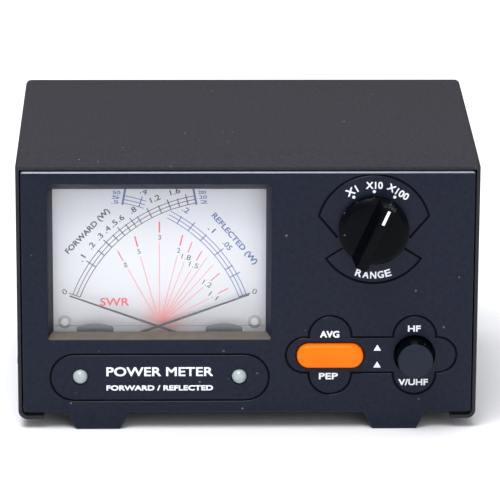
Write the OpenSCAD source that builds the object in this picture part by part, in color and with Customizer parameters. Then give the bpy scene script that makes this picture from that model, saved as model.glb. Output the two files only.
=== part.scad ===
// Desk-top cross-needle SWR and power meter, as separate pieces.
// X runs across the front, Y from front to back, Z up. The feet stand on z = 0.
// The origin is under the middle of the whole box, from the knob's face to the sockets' mouths.

/* [Case] */
// Outside width of the sheet-steel cover
case_w = 155; // [154:0.5:165]
// Depth from the panel's face to the rear panel's outer face
case_d = 105; // [100:1:130]
// Height of the cover's top above the floor
case_top = 94.4; // [94:0.2:100]
// Height of the case's underside above the floor
case_bottom = 3.5; // [3.2:0.1:4]
// Thickness of the sheet steel
sheet_t = 1.2; // [1:0.1:1.2]
// Depth of the band along the cover's front that slopes down
brow_depth = 16.6; // [12:0.2:20]
// How far the sloping band drops to its front edge
brow_drop = 1.9; // [1:0.1:2]
// Width of the cover's inward lips under the case
lip_w = 8.6; // [6:0.2:10]

/* [Front panel] */
// Thickness of the moulded panel
panel_t = 2.5; // [2:0.1:2.8]
// Lower edge of the panel above the floor
panel_low = 5.9; // [5.9:0.1:6.4]
// Upper edge of the panel above the floor
panel_high = 90.9; // [90:0.1:90.9]
// Depth of the rim behind the panel
rim_depth = 13; // [8:0.5:15]
// Depth of the engraved lines
engrave_d = 0.4; // [0.2:0.1:0.8]
// Width of the engraved lines
engrave_w = 0.6; // [0.4:0.1:0.8]

/* [Meter] */
// Place of the meter's middle across the panel
meter_x = -29.6; // [-30.2:0.1:-29.2]
// Width of the window in the panel's face
window_w = 75; // [74:0.2:75.4]
// Lower edge of the window in the panel's face
window_low = 32.1; // [31.6:0.1:32.4]
// Upper edge of the window in the panel's face
window_high = 86.6; // [86:0.1:86.8]
// Depth of the window's sloping sides
window_depth = 5; // [4:0.1:5]
// Distance from the meter's middle to each needle's pivot
pivot_dx = 21.8; // [20:0.1:22]
// Height of the pivots above the floor
pivot_z = 26; // [26:0.1:27]
// Length of a needle from its pivot
needle_len = 55.5; // [50:0.5:56]
// Angle of a resting needle from upright
needle_rest = 70; // [68:0.5:72]
// Angle that a needle sweeps
needle_sweep = 60; // [50:1:62]

/* [Controls] */
// Place of the range knob across the panel
knob_x = 42.1; // [41.5:0.1:43]
// Height of the range knob
knob_z = 71; // [70:0.1:71.2]
// Radius of the knob's skirt
knob_r = 11.7; // [11:0.1:12]
// How far the knob stands out from the panel
knob_out = 13; // [12:0.5:15]
// Angle of the knob's pointer from upright
knob_angle = 24; // [-36:1:24]
// Place of the average/peak button across the panel
peak_x = 27.9; // [27.6:0.1:28.4]
// Place of the band button across the panel
band_x = 56.4; // [56:0.1:57]
// Height of both buttons
button_z = 26.5; // [26:0.1:27]
// Travel of both buttons
button_travel = 3.5; // [2:0.1:3.5]

/* [Sockets] */
// Radius of the coaxial sockets' thread
socket_r = 7.94; // [7.9:0.01:8]
// How far the sockets stand out behind the rear panel
socket_out = 14; // [13:0.5:15]
// Height of the row of sockets
socket_z = 50; // [48:1:54]
// Distance between the two sockets of a pair
socket_gap = 32; // [30:0.5:33]
// Distance from the case's middle to the middle of a pair
pair_x = 38; // [37:0.5:39]

/* [Hidden] */
$fn = 48;

// Colours
steel_black = [0.18, 0.18, 0.19];
panel_black = [0.12, 0.13, 0.16];
gloss_black = [0.05, 0.05, 0.06];
pcb_green = [0.1, 0.35, 0.18];
zinc = [0.75, 0.75, 0.76];
brass = [0.8, 0.65, 0.3];
copper = [0.75, 0.42, 0.25];
nylon = [0.93, 0.93, 0.9];
orange = [0.95, 0.45, 0.1];

// The row's Y origin lies half-way between the knob's face and the sockets' mouths
front_y = knob_out - (knob_out + case_d + socket_out) / 2;
eps = 0.01;
over = 1;
push_fit = 0.02;
press_fit = 0.01;
hex = 6;

// Case
cover_front = 0.8;
top_corner_r = 2;
min_corner_r = 0.4;
bottom_corner_r = 3;
floor_z = case_bottom + sheet_t;
chassis_gap = 0.15;
flange_top = 20;
flange_front = 16;
chassis_front = 3;
rear_gap = 0.2;
chassis_back = case_d - sheet_t - rear_gap;
rear_side_gap = 0.25;
cover_screw_y = [35, case_d - 15];
cover_screw_z = 13;
screw_r = 1.5;
screw_hole_r = 1.6;
screw_head_r = 2.75;
screw_head_h = 1.6;
screw_len = 5;
rear_screw_x = 66;
rear_screw_z = 12;
rear_lip_top = 15.8;
rear_lip_inset = 4;
foot_x = 48;
foot_y = case_d - 13;
foot_r = 6.5;
foot_well_r = 3.2;
foot_well_h = 2;
small_head_r = 2.7;

// Front panel
panel_gap = 0.4;
panel_w = case_w - 2 * (sheet_t + panel_gap);
panel_corner_r = 1;
rim_t = 1.6;
tab_x = [-45.1, 49.9];
tab_top_w = 21.5;
tab_bottom_w = 15;
tab_depth = 14;
tab_foot_h = case_bottom - 0.2;
panel_screw_x = 62;
panel_screw_y = 9;
panel_boss_r = 3.4;
panel_boss_h = 6.8;
panel_screw_hole_h = 6;
panel_screw_len = 6;
panel_screw_r = 1.15;
panel_pilot_r = 1.2;
window_inner_w = window_w - 3.4;
window_inner_low = window_low + 1.25;
window_inner_high = window_high - 3;
frame_side = 1.4;
frame_low = 1.5;
frame_high = 1.2;
plate_line_w = 74.4;
plate_line_h = 17;
plate_line_z = 18.6;
led_dx = 26.85;
led_z = 18.9;
led_r = 2.5;
led_hole_r = 2.7;
led_dome_y = 0.7;
led_base_y = 6.6;
led_flange = 0.4;
led_flange_t = 1;
led_board_half = 32;
led_board_low = 16;
led_board_t = 1;
led_board_gap = 0.3;
cluster_x = 41.75;
cluster_w = 58.2;
cluster_h = 13.2;
lobe_r = 7.5;
lobe_dz = 6.7;
dial_line_r = 19.2;
bushing_hole_r = 4.8;
peak_w = 22.4;
peak_h = 8.1;
hole_gap = 0.4;
band_hole_r = 7;

// Meter
case_in_t = 1.6;
clear_t = 1.2;
meter_w = 79.8;
meter_low = 13;
meter_top = 86.8;
glass_low = 22.2;
glass_y = window_depth;
tub_y = 10.2;
tub_back = 31;
dial_margin = case_in_t + 0.4;
dial_y = 10.8;
dial_t = 0.6;
dial_low = 32.4;
dial_high = 84.5;
dial_screw_dx = 32.2;
dial_screw_z = 34.9;
dial_screw_r = 0.7;
dial_screw_len = 5;
dial_head_r = 1.2;
dial_head_h = 0.8;
dial_hole_r = 0.8;
dial_pilot_r = 0.75;
dial_pilot_deep = 8;
dial_post_r = 2;
ear_dx = 42.2;
ear_z = [35, 75];
ear_half = 2.4;
ear_half_h = 3;
ear_t = 2;
ear_hole_r = 1.3;
ear_post_r = 2.2;
ear_pilot_r = 0.9;
ear_screw_r = 0.85;
ear_screw_len = 7;
ear_head_r = 2.2;
bridge_y = 6.9;
bridge_t = 0.7;
bridge_post = 9.6;
bridge_w = 2.2;
post_pin_r = bridge_w / 2;
hump_r = 15.4;
hump_half = 6.2;
hump_drop = 6;
yoke_in_r = 8.2;
yoke_out_r = 10.6;
yoke_y = 14;
yoke_len = 8;
yoke_web_w = 2;
core_r = 5.2;
staff_r = 0.5;
staff_hole_r = 0.55;
staff_inset = 0.2;
coil_y = 12.5;
coil_len = 11;
coil_half = 7.4;
coil_bar = 1.4;
coil_w = 2.4;
coil_end_t = 0.8;
rear_bridge_y = 25.2;
rear_bridge_t = 0.8;
hub_r = 1.6;
hub_y = [7.8, 9.8];
needle_t = 0.3;
needle_root_w = 1.1;
needle_tip_w = 0.44;
tail_w = 1.8;
tail_len = 2.5;
spring_y = 10.6;
spring_w = 0.4;
forward_y = 8;
reflected_y = 9.2;
coil_rest = needle_sweep / 2;

// Controls
skirt_h = 2.5;
knob_gap = 0.4;
skirt_bevel = 1.1;
skirt_top_r = 10.1;
knob_well_r = 9.3;
knob_well_d = skirt_h + 0.6;
bar_base_w = 6.6;
bar_face_w = 3.8;
bar_half = 11.5;
shaft_r = 3;
shaft_play = 0.05;
shaft_front = 11;
shaft_back = 12.4;
end_gap = 0.2;
tang_start = 3.2;
tang_r = 1.5;
bushing_r = 4.6;
bushing_front = -2.6;
switch_r = 12;
switch_back = 14;
rotor_r = 9.8;
rotor_gap = 0.5;
rotor_y = [7, 9];
rotor_room = [6, 10];
terminal_r = 0.5;
terminal_ring = 9;
terminals = 8;
washer_r = 7;
washer_t = 0.5;
washer_play = 0.1;
nut_r = 6.6;
nut_t = 1.9;
nut_play = 0.05;
pointer_w = 1;
pointer_in = 5.7;
inlay_d = 0.4;
peak_out = 2.5;
peak_flange_y = 6.2;
peak_flange_t = 0.8;
peak_flange = 1;
band_out = 7;
band_flange_y = 3;
band_flange_t = 1;
band_flange_r = 8;
band_face_r = 5.6;
band_base_r = 6.5;
push_y = 10;
push_size = 8.6;
push_well = 3.4;
push_solid_len = 5;
plunger_w = 3;
band_plunger_end = 12;
latch_short = 0.7;
peak_plunger_end = band_plunger_end + button_travel - latch_short;
push_well_end = band_plunger_end + button_travel + push_solid_len;
board_y = 24;
board_t = 1.6;
board_back = board_y + board_t;
board_x = [12, 73];
board_z = [8, 88];
post_x = [15.6, 70];
post_z = [13, 84];
post_r = 2.4;
post_pilot_r = 1.25;
post_pilot_deep = 7;
post_stud_r = 0.9;
post_stud_deep = 1;
board_screw_r = 1.2;
board_screw_len = 6;

// Rear
socket_x = [for (side = [-1, 1], s = [-1, 1]) side * pair_x + s * socket_gap / 2];
flange_w = 25.4;
flange_t = 1.6;
flange_hole = 9.1;
barrel_in_r = 6.3;
insulator_r = 6.25;
insulator_y = [case_d - 5, case_d + 6];
nose_r = 4.6;
nose_y = case_d + 12;
socket_screw_len = 5.5;
contact_r = 2.9;
contact_bore_r = 2;
contact_bore_deep = 10;
contact_end = case_d + 12.4;
contact_start = case_d - 9;
box_w = 62;
box_h = 36;
box_deep = 36;
box_t = 1;
box_back = case_d - sheet_t;
box_front = box_back - box_deep;
coupler_board_y = box_back - 20;
line_t = 3;
line_half = 2;
jack_z = 22;
jack_r = 4;
jack_play = 0.1;
jack_nut_r = 6;
jack_nut_t = 2;
jack_bore_r = 2.8;
jack_pin_r = 1.05;
jack_root_r = 1.4;
jack_deep = 13;
jack_flange_r = 5.5;
jack_flange_t = 1.5;
jack_bore_deep = 8.5;
jack_pin_deep = 10;
jack_pin_out = 0.5;
lead_r = 0.9;
lead_sides = 8;
lead_steps = 14;
lead_bow = 18;
coupler_lead_step = [6, 0, 4];
coupler_lead_end = [48, board_back, 46];
coupler_lead_spread = [8, 0, 0];
coupler_end_step = [0, 0, 5];
meter_lead_start = [meter_x, tub_back, 20];
meter_lead_step = [8, 0, 3];
meter_lead_end = [20, board_back, 14];
meter_end_step = [6, 0, 4];
meter_lead_bow = 14;
power_lead_start = [-2, case_d - jack_deep, jack_z];
power_lead_step = [4, 0, 0];
power_lead_end = [40, board_back, 14];
power_end_step = [6, 0, 0];
power_lead_bow = 20;

// Places the pieces in the row's frame
module in_case() {
    translate([0, front_y, 0]) children();
}

// Extrudes an outline drawn in X and Z from y0 to y1
module along_y(y0, y1) {
    translate([0, y1, 0]) rotate([90, 0, 0]) linear_extrude(y1 - y0) children();
}

// Extrudes an outline drawn in Y and Z from x0 to x1
module along_x(x0, x1) {
    translate([x0, 0, 0]) rotate([90, 0, 90]) linear_extrude(x1 - x0) children();
}

// A round bar along Y
module rod(r, y0, y1, x = 0, z = 0) {
    translate([x, y1, z]) rotate([90, 0, 0]) cylinder(r = r, h = y1 - y0);
}

// A cone along Y, r0 at y0 and r1 at y1
module taper(r0, r1, y0, y1, x = 0, z = 0) {
    translate([x, y1, z]) rotate([90, 0, 0]) cylinder(r1 = r1, r2 = r0, h = y1 - y0);
}

// A box from its low corner to its high corner
module block(low, high) {
    translate(low) cube(high - low);
}

// An outline with straight ends: x0 to x1 and z0 to z1
module rect(x0, x1, z0, z1) {
    translate([x0, z0]) square([x1 - x0, z1 - z0]);
}

// A rectangle with its own radius at the bottom and at the top
module rounded(w, z0, z1, rb, rt) {
    rect(-w / 2, w / 2, z0 + rb, z1 - rt);
    rect(-w / 2 + rb, w / 2 - rb, z0, z0 + rb + eps);
    rect(-w / 2 + rt, w / 2 - rt, z1 - rt - eps, z1);
    for (side = [-1, 1]) {
        translate([side * (w / 2 - rb), z0 + rb]) circle(r = rb);
        translate([side * (w / 2 - rt), z1 - rt]) circle(r = rt);
    }
}

// A bar with half-round ends, w over all and h high
module stadium(w, h) {
    square([w - h, h], center = true);
    for (side = [-1, 1]) translate([side * (w - h) / 2, 0]) circle(r = h / 2);
}

// Everything above the sloping band, t under its surface
module above_brow(t) {
    z = case_top - t;
    slope = brow_drop / (brow_depth - cover_front);
    low = z - slope * (brow_depth + over);
    along_x(-case_w, case_w) polygon([
        [brow_depth, z], [-over, low], [-over, case_top + over], [brow_depth, case_top + over]
    ]);
}

// The space inside the cover's skin, inset by t
module case_shape(t, y0, y1) {
    difference() {
        along_y(y0, y1) rounded(
            case_w - 2 * t, case_bottom + t, case_top - t,
            bottom_corner_r - t, max(top_corner_r - t, min_corner_r));
        above_brow(t);
    }
}

module cover() {
    color(steel_black) difference() {
        case_shape(0, cover_front, case_d);
        case_shape(sheet_t, cover_front - over, case_d + over);
        block([-case_w / 2 + lip_w, -over, 0], [case_w / 2 - lip_w, case_d + over, floor_z + over]);
        for (y = cover_screw_y) along_x(-case_w, case_w)
            translate([y, cover_screw_z]) circle(r = screw_hole_r);
    }
}

module chassis() {
    w = case_w - 2 * (sheet_t + chassis_gap);
    r = bottom_corner_r - sheet_t - chassis_gap;
    color(zinc) difference() {
        union() {
            along_y(flange_front, chassis_back) difference() {
                rounded(w, floor_z, case_top, r, r);
                rounded(w - 2 * sheet_t, floor_z + sheet_t, case_top + over, r - sheet_t, r);
                rect(-w, w, flange_top, case_top + over);
            }
            block([-w / 2 + r, chassis_front, floor_z], [w / 2 - r, chassis_back, floor_z + sheet_t]);
            block([-w / 2 + rear_lip_inset, chassis_back - sheet_t, floor_z],
                  [w / 2 - rear_lip_inset, chassis_back, rear_lip_top]);
        }
        for (y = cover_screw_y) along_x(-case_w, case_w)
            translate([y, cover_screw_z]) circle(r = screw_hole_r);
        for (side = [-1, 1]) {
            rod(screw_hole_r, chassis_back - over - sheet_t, case_d, side * rear_screw_x, rear_screw_z);
            for (place = [[panel_screw_x, panel_screw_y], [foot_x, foot_y]])
                translate([side * place.x, place.y, 0])
                    cylinder(r = screw_hole_r, h = floor_z + sheet_t + over);
        }
    }
}

module rear_panel() {
    inset = sheet_t + rear_side_gap;
    color(steel_black) difference() {
        case_shape(inset, case_d - sheet_t, case_d);
        for (x = socket_x) {
            rod(barrel_in_r, case_d - 2 * over, case_d + over, x, socket_z);
            for (dx = [-1, 1], dz = [-1, 1])
                rod(screw_hole_r, case_d - 2 * over, case_d + over,
                    x + dx * flange_hole, socket_z + dz * flange_hole);
        }
        for (side = [-1, 1])
            rod(screw_hole_r, case_d - 2 * over, case_d + over, side * rear_screw_x, rear_screw_z);
        rod(jack_r + jack_play, case_d - 2 * over, case_d + over, 0, jack_z);
    }
}

// The space of the window: sloping sides as far as its depth, then straight
module window_space() {
    slope_x = (window_w - window_inner_w) / 2 / window_depth;
    slope_low = (window_inner_low - window_low) / window_depth;
    slope_high = (window_high - window_inner_high) / window_depth;
    front = -over;
    back = window_depth + over;
    intersection() {
        translate([meter_x, 0, 0]) linear_extrude(case_top) polygon([
            [-window_w / 2 + slope_x * front, front], [window_w / 2 - slope_x * front, front],
            [window_w / 2 - slope_x * back, back], [-window_w / 2 + slope_x * back, back]
        ]);
        along_x(-case_w, case_w) polygon([
            [front, window_low + slope_low * front], [back, window_low + slope_low * back],
            [back, window_high - slope_high * back], [front, window_high - slope_high * front]
        ]);
    }
}

// The outline round both buttons, grown by g
module cluster(g) {
    translate([cluster_x, button_z]) stadium(cluster_w + 2 * g, cluster_h + 2 * g);
    for (x = [peak_x, band_x], side = [-1, 1])
        translate([x, button_z + side * lobe_dz]) circle(r = lobe_r + g);
}

// A straight stroke from a to b
module stroke(a, b) {
    run = b - a;
    translate(a) rotate(atan2(run.y, run.x)) translate([0, -engrave_w / 2]) square([norm(run), engrave_w]);
}

// A ring's arc from angle a to angle b, on the side of up (1) or down (-1)
module arc_line(a, b, up) {
    far = 2 * dial_line_r;
    intersection() {
        difference() {
            circle(r = dial_line_r);
            circle(r = dial_line_r - engrave_w);
        }
        polygon([[0, 0], far * [cos(a), sin(a)], [0, 2 * up * far], far * [cos(b), sin(b)]]);
    }
}

// The arc over the knob and the arc under it, each with short ends that run in to the knob
module scale_outline() {
    upper = 14;
    lower = 33;
    near_r = 12.4;
    mid_r = dial_line_r - engrave_w / 2;
    arc_line(upper, 180 - upper, 1);
    arc_line(-lower, lower - 180, -1);
    for (side = [0, 1]) mirror([side, 0]) {
        stroke(mid_r * [cos(upper), sin(upper)], near_r * [cos(upper), -sin(upper)]);
        stroke(mid_r * [cos(lower), -sin(lower)], near_r * [cos(lower), -sin(lower)]);
    }
}

module engraving() {
    along_y(-over, engrave_d) {
        difference() {
            cluster(0);
            cluster(-engrave_w);
        }
        translate([meter_x, plate_line_z]) difference() {
            stadium(plate_line_w, plate_line_h);
            stadium(plate_line_w - 2 * engrave_w, plate_line_h - 2 * engrave_w);
        }
        translate([knob_x, knob_z]) scale_outline();
    }
}

module front_panel() {
    color(panel_black) difference() {
        union() {
            along_y(0, panel_t) rounded(panel_w, panel_low, panel_high, panel_corner_r, panel_corner_r);
            along_y(panel_t - eps, rim_depth) difference() {
                rounded(panel_w, panel_low, panel_high, panel_corner_r, panel_corner_r);
                rect(-panel_w / 2 + rim_t, panel_w / 2 - rim_t, panel_low + rim_t, panel_high - rim_t);
            }
            for (x = tab_x) {
                along_y(0, panel_t) translate([x, 0]) polygon([
                    [-tab_top_w / 2, panel_low + eps], [tab_top_w / 2, panel_low + eps],
                    [tab_bottom_w / 2, 0], [-tab_bottom_w / 2, 0]
                ]);
                block([x - tab_bottom_w / 2, panel_t - eps, 0],
                      [x + tab_bottom_w / 2, tab_depth, tab_foot_h]);
            }
            along_y(panel_t - eps, window_depth) rect(
                meter_x - window_w / 2 - frame_side, meter_x + window_w / 2 + frame_side,
                window_low - frame_low, window_high + frame_high);
            for (side = [-1, 1], z = ear_z)
                rod(ear_post_r, panel_t - eps, tub_y, meter_x + side * ear_dx, z);
            for (side = [-1, 1]) translate([side * panel_screw_x, panel_screw_y, panel_low])
                cylinder(r = panel_boss_r, h = panel_boss_h);
        }
        window_space();
        engraving();
        for (side = [-1, 1], z = ear_z)
            rod(ear_pilot_r, panel_t, tub_y + over, meter_x + side * ear_dx, z);
        for (side = [-1, 1]) {
            rod(led_hole_r, -over, panel_t + over, meter_x + side * led_dx, led_z);
            translate([side * panel_screw_x, panel_screw_y, 0])
                cylinder(r = panel_pilot_r, h = panel_low + panel_screw_hole_h);
        }
        rod(bushing_hole_r, -over, panel_t + over, knob_x, knob_z);
        along_y(-over, panel_t + over) translate([peak_x, button_z])
            stadium(peak_w + 2 * hole_gap, peak_h + 2 * hole_gap);
        rod(band_hole_r, -over, panel_t + over, band_x, button_z);
        for (x = post_x, z = post_z) rod(post_stud_r, panel_t - post_stud_deep, panel_t + over, x, z);
    }
}

module rear_feet() {
    color(gloss_black) for (side = [-1, 1]) translate([side * foot_x, foot_y, 0]) difference() {
        cylinder(r = foot_r, h = floor_z);
        translate([0, 0, -over]) cylinder(r = foot_well_r, h = over + foot_well_h);
        cylinder(r = screw_hole_r, h = floor_z + over);
    }
}

// A pan-head screw whose head starts at z = 0 and whose shank runs down
module screw(length, head_r, r) {
    cylinder(r = head_r, h = screw_head_h);
    translate([0, 0, -length]) cylinder(r = r, h = length + eps);
}

module foot_screws() {
    color(zinc) for (side = [-1, 1])
        translate([side * foot_x, foot_y, foot_well_h]) mirror([0, 0, 1])
            screw(screw_len, small_head_r, screw_r);
}

module cover_screws() {
    color(gloss_black) for (side = [-1, 1], y = cover_screw_y)
        translate([side * case_w / 2, y, cover_screw_z]) rotate([0, side * 90, 0])
            screw(screw_len, screw_head_r, screw_r);
}

module rear_panel_screws() {
    color(gloss_black) for (side = [-1, 1])
        translate([side * rear_screw_x, case_d, rear_screw_z]) rotate([-90, 0, 0])
            screw(screw_len, screw_head_r, screw_r);
}

module panel_screws() {
    color(zinc) for (side = [-1, 1])
        translate([side * panel_screw_x, panel_screw_y, floor_z]) mirror([0, 0, 1])
            screw(panel_screw_len, small_head_r, panel_screw_r);
}

module meter_housing() {
    color(panel_black) difference() {
        union() {
            difference() {
                block([meter_x - meter_w / 2, tub_y, meter_low],
                      [meter_x + meter_w / 2, tub_back, meter_top]);
                block([meter_x - meter_w / 2 + case_in_t, tub_y - over, glass_low + case_in_t],
                      [meter_x + meter_w / 2 - case_in_t, tub_back - case_in_t, meter_top - case_in_t]);
                block([meter_x - meter_w / 2 + case_in_t, tub_y + case_in_t, meter_low + case_in_t],
                      [meter_x + meter_w / 2 - case_in_t, tub_back - case_in_t, glass_low + 2 * case_in_t]);
            }
            for (side = [-1, 1]) {
                rod(dial_post_r, dial_y + dial_t, tub_back - over,
                    meter_x + side * dial_screw_dx, dial_screw_z);
                for (dz = [-1, 1]) rod(post_pin_r, yoke_y + yoke_len, tub_back - over,
                    meter_x + side * pivot_dx, pivot_z + dz * (yoke_in_r + yoke_out_r) / 2);
                for (z = ear_z) block([meter_x + side * ear_dx - ear_half, tub_y, z - ear_half_h],
                                      [meter_x + side * ear_dx + ear_half, tub_y + ear_t, z + ear_half_h]);
            }
        }
        for (side = [-1, 1]) {
            rod(dial_pilot_r, dial_y, dial_y + dial_pilot_deep,
                meter_x + side * dial_screw_dx, dial_screw_z);
            for (z = ear_z)
                rod(ear_hole_r, tub_y - over, tub_y + ear_t + over, meter_x + side * ear_dx, z);
        }
    }
}

module meter_cover() {
    color([0.9, 0.95, 1, 0.3]) difference() {
        block([meter_x - meter_w / 2, glass_y, glass_low], [meter_x + meter_w / 2, tub_y, meter_top]);
        block([meter_x - meter_w / 2 + clear_t, glass_y + clear_t, glass_low + clear_t],
              [meter_x + meter_w / 2 - clear_t, tub_y + over, meter_top - clear_t]);
    }
}

module dial_plate() {
    color(nylon) difference() {
        block([meter_x - meter_w / 2 + dial_margin, dial_y, dial_low],
              [meter_x + meter_w / 2 - dial_margin, dial_y + dial_t, dial_high]);
        for (side = [-1, 1])
            rod(dial_hole_r, dial_y - over, dial_y + over, meter_x + side * dial_screw_dx, dial_screw_z);
    }
}

module dial_screws() {
    color(nylon) for (side = [-1, 1]) {
        rod(dial_head_r, dial_y - dial_head_h, dial_y, meter_x + side * dial_screw_dx, dial_screw_z);
        rod(dial_screw_r, dial_y - eps, dial_y + dial_screw_len,
            meter_x + side * dial_screw_dx, dial_screw_z);
    }
}

// Repeats a movement's piece at both pivots
module at_pivots() {
    for (side = [-1, 1]) translate([meter_x + side * pivot_dx, 0, pivot_z]) children();
}

module front_bridges() {
    color(zinc) at_pivots() difference() {
        union() {
            along_y(bridge_y, bridge_y + bridge_t) {
                stadium(2 * bridge_post + bridge_w, bridge_w);
                intersection() {
                    translate([0, -hump_drop]) circle(r = hump_r);
                    rect(-hump_half, hump_half, 0, hump_r);
                }
            }
            for (side = [-1, 1]) rod(post_pin_r, bridge_y + bridge_t - eps, yoke_y, side * bridge_post, 0);
        }
        rod(staff_hole_r, bridge_y - over, bridge_y + bridge_t + over);
    }
}

module rear_bridges() {
    color(zinc) at_pivots() difference() {
        union() {
            along_y(rear_bridge_y, rear_bridge_y + rear_bridge_t)
                stadium(2 * bridge_post + bridge_w, bridge_w);
            for (side = [-1, 1])
                rod(post_pin_r, yoke_y + yoke_len, rear_bridge_y + eps, side * bridge_post, 0);
        }
        rod(staff_hole_r, rear_bridge_y - over, rear_bridge_y + 2 * over);
    }
}

module magnet_yokes() {
    color([0.35, 0.35, 0.37]) at_pivots() along_y(yoke_y, yoke_y + yoke_len) {
        difference() {
            circle(r = yoke_out_r);
            circle(r = yoke_in_r);
        }
        for (side = [-1, 1]) scale([1, side]) difference() {
            rect(-yoke_web_w / 2, yoke_web_w / 2, 0, yoke_in_r + over);
            circle(r = core_r);
        }
    }
}

module core_magnets() {
    color([0.4, 0.4, 0.42]) at_pivots() rod(core_r, yoke_y, yoke_y + yoke_len);
}

module meter_screws() {
    color(zinc) for (side = [-1, 1], z = ear_z)
        translate([meter_x + side * ear_dx, tub_y + ear_t, z]) rotate([-90, 0, 0])
            screw(ear_screw_len, ear_head_r, ear_screw_r);
}

// A tapering pointer that leans by angle from upright, in the plane at y
module needle(y, angle) {
    color(gloss_black) rotate([0, angle, 0]) {
        along_y(y, y + needle_t) polygon([
            [-needle_root_w / 2, 0], [needle_root_w / 2, 0],
            [needle_tip_w / 2, needle_len], [-needle_tip_w / 2, needle_len]
        ]);
        along_y(y, y + needle_t) rect(-tail_w / 2, tail_w / 2, -tail_len, 0);
        rod(hub_r, hub_y[0], hub_y[1]);
        rod(staff_r, bridge_y + staff_inset, coil_y);
    }
}

// The moving coil on its frame, its long sides either side of the core
module coil(angle) {
    color(copper) rotate([0, angle, 0]) {
        along_y(coil_y, coil_y + coil_len) difference() {
            rect(-coil_half, coil_half, -coil_w / 2, coil_w / 2);
            rect(-coil_half + coil_bar, coil_half - coil_bar, -coil_w, coil_w);
        }
        block([-coil_half, coil_y, -coil_w / 2], [coil_half, coil_y + coil_end_t, coil_w / 2]);
        block([-coil_half, coil_y + coil_len - coil_end_t, -coil_w / 2],
              [coil_half, coil_y + coil_len, coil_w / 2]);
        rod(staff_r, coil_y + coil_len - eps, rear_bridge_y + rear_bridge_t - staff_inset);
    }
}

// A flat spiral strip round the staff
module hairspring() {
    turns = 2.5;
    steps = 60;
    start_r = 0.75;
    pitch = 0.46;
    strip = 0.16;
    function spiral(i, w) = let (
        a = 360 * turns * i / steps,
        r = start_r + w + pitch * turns * i / steps
    ) r * [cos(a), sin(a)];
    color(copper) along_y(spring_y, spring_y + spring_w) polygon(concat(
        [for (i = [0 : steps]) spiral(i, 0)], [for (i = [steps : -1 : 0]) spiral(i, strip)]));
}

module forward_needle() {
    translate([meter_x + pivot_dx, 0, pivot_z]) needle(forward_y, -needle_rest);
}

module forward_coil() {
    translate([meter_x + pivot_dx, 0, pivot_z]) coil(-coil_rest);
}

module forward_hairspring() {
    translate([meter_x + pivot_dx, 0, pivot_z]) hairspring();
}

module reflected_needle() {
    translate([meter_x - pivot_dx, 0, pivot_z]) needle(reflected_y, needle_rest);
}

module reflected_coil() {
    translate([meter_x - pivot_dx, 0, pivot_z]) coil(coil_rest);
}

module reflected_hairspring() {
    translate([meter_x - pivot_dx, 0, pivot_z]) hairspring();
}

module indicator_leds() {
    color([0.9, 0.93, 0.92]) for (side = [-1, 1]) translate([meter_x + side * led_dx, 0, led_z]) {
        rod(led_r, led_dome_y, led_base_y);
        intersection() {
            translate([0, led_dome_y, 0]) sphere(r = led_r);
            rod(led_r + over, led_dome_y - led_r - over, led_dome_y + eps);
        }
        rod(led_r + led_flange, led_base_y - led_flange_t, led_base_y);
    }
}

module led_board() {
    color(pcb_green) block([meter_x - led_board_half, led_base_y, led_board_low],
        [meter_x + led_board_half, led_base_y + led_board_t, glass_low - led_board_gap]);
}

module front_board() {
    color(pcb_green) difference() {
        block([board_x[0], board_y, board_z[0]], [board_x[1], board_back, board_z[1]]);
        for (x = post_x, z = post_z) rod(screw_hole_r, board_y - over, board_back + over, x, z);
    }
}

module board_standoffs() {
    color(brass) for (x = post_x, z = post_z) difference() {
        rod(post_r, panel_t, board_y, x, z);
        rod(post_pilot_r, board_y - post_pilot_deep, board_y + over, x, z);
    }
}

module board_screws() {
    color(zinc) for (x = post_x, z = post_z)
        translate([x, board_back, z]) rotate([-90, 0, 0])
            screw(board_screw_len, screw_head_r, board_screw_r);
}

// Places a piece on the knob's axis, turned to the pointer's angle
module on_knob() {
    translate([knob_x, 0, knob_z]) rotate([0, knob_angle, 0]) children();
}

module range_knob() {
    skirt_face = -knob_gap - skirt_h;
    color(gloss_black) on_knob() difference() {
        union() {
            rod(knob_r, skirt_face, -knob_gap);
            taper(skirt_top_r, knob_r, skirt_face - skirt_bevel, skirt_face + eps);
            intersection() {
                translate([0, 0, -bar_half]) linear_extrude(2 * bar_half) polygon([
                    [-bar_base_w / 2, skirt_face], [bar_base_w / 2, skirt_face],
                    [bar_face_w / 2, -knob_out], [-bar_face_w / 2, -knob_out]
                ]);
                rod(bar_half, -knob_out - over, 0);
            }
        }
        rod(knob_well_r, -knob_well_d, 0);
        rod(tang_r + push_fit, -shaft_front, 0);
        rod(shaft_r + push_fit, -tang_start - end_gap, 0);
        block([-pointer_w / 2, -knob_out - over, pointer_in],
              [pointer_w / 2, -knob_out + inlay_d, bar_half + over]);
    }
}

module knob_pointer() {
    color(nylon) on_knob() intersection() {
        block([-pointer_w / 2, -knob_out, pointer_in],
              [pointer_w / 2, -knob_out + inlay_d, bar_half + over]);
        rod(bar_half, -knob_out - over, 0);
    }
}

module range_shaft() {
    color(zinc) on_knob() {
        rod(shaft_r, -tang_start, shaft_back);
        rod(tang_r, -shaft_front + end_gap, -tang_start + eps);
    }
}

module range_rotor() {
    color(nylon) on_knob() difference() {
        rod(rotor_r, rotor_y[0], rotor_y[1]);
        rod(shaft_r + press_fit, rotor_room[0], rotor_room[1]);
    }
}

module range_switch() {
    color(zinc) translate([knob_x, 0, knob_z]) {
        difference() {
            union() {
                rod(bushing_r, bushing_front, panel_t + eps);
                rod(switch_r, panel_t, switch_back);
            }
            rod(shaft_r + shaft_play, bushing_front - over, shaft_back + end_gap);
            rod(rotor_r + rotor_gap, rotor_room[0], rotor_room[1]);
        }
        for (k = [1 : terminals]) {
            a = 360 * k / terminals;
            rod(terminal_r, switch_back - eps, board_y, terminal_ring * cos(a), terminal_ring * sin(a));
        }
    }
}

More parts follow.
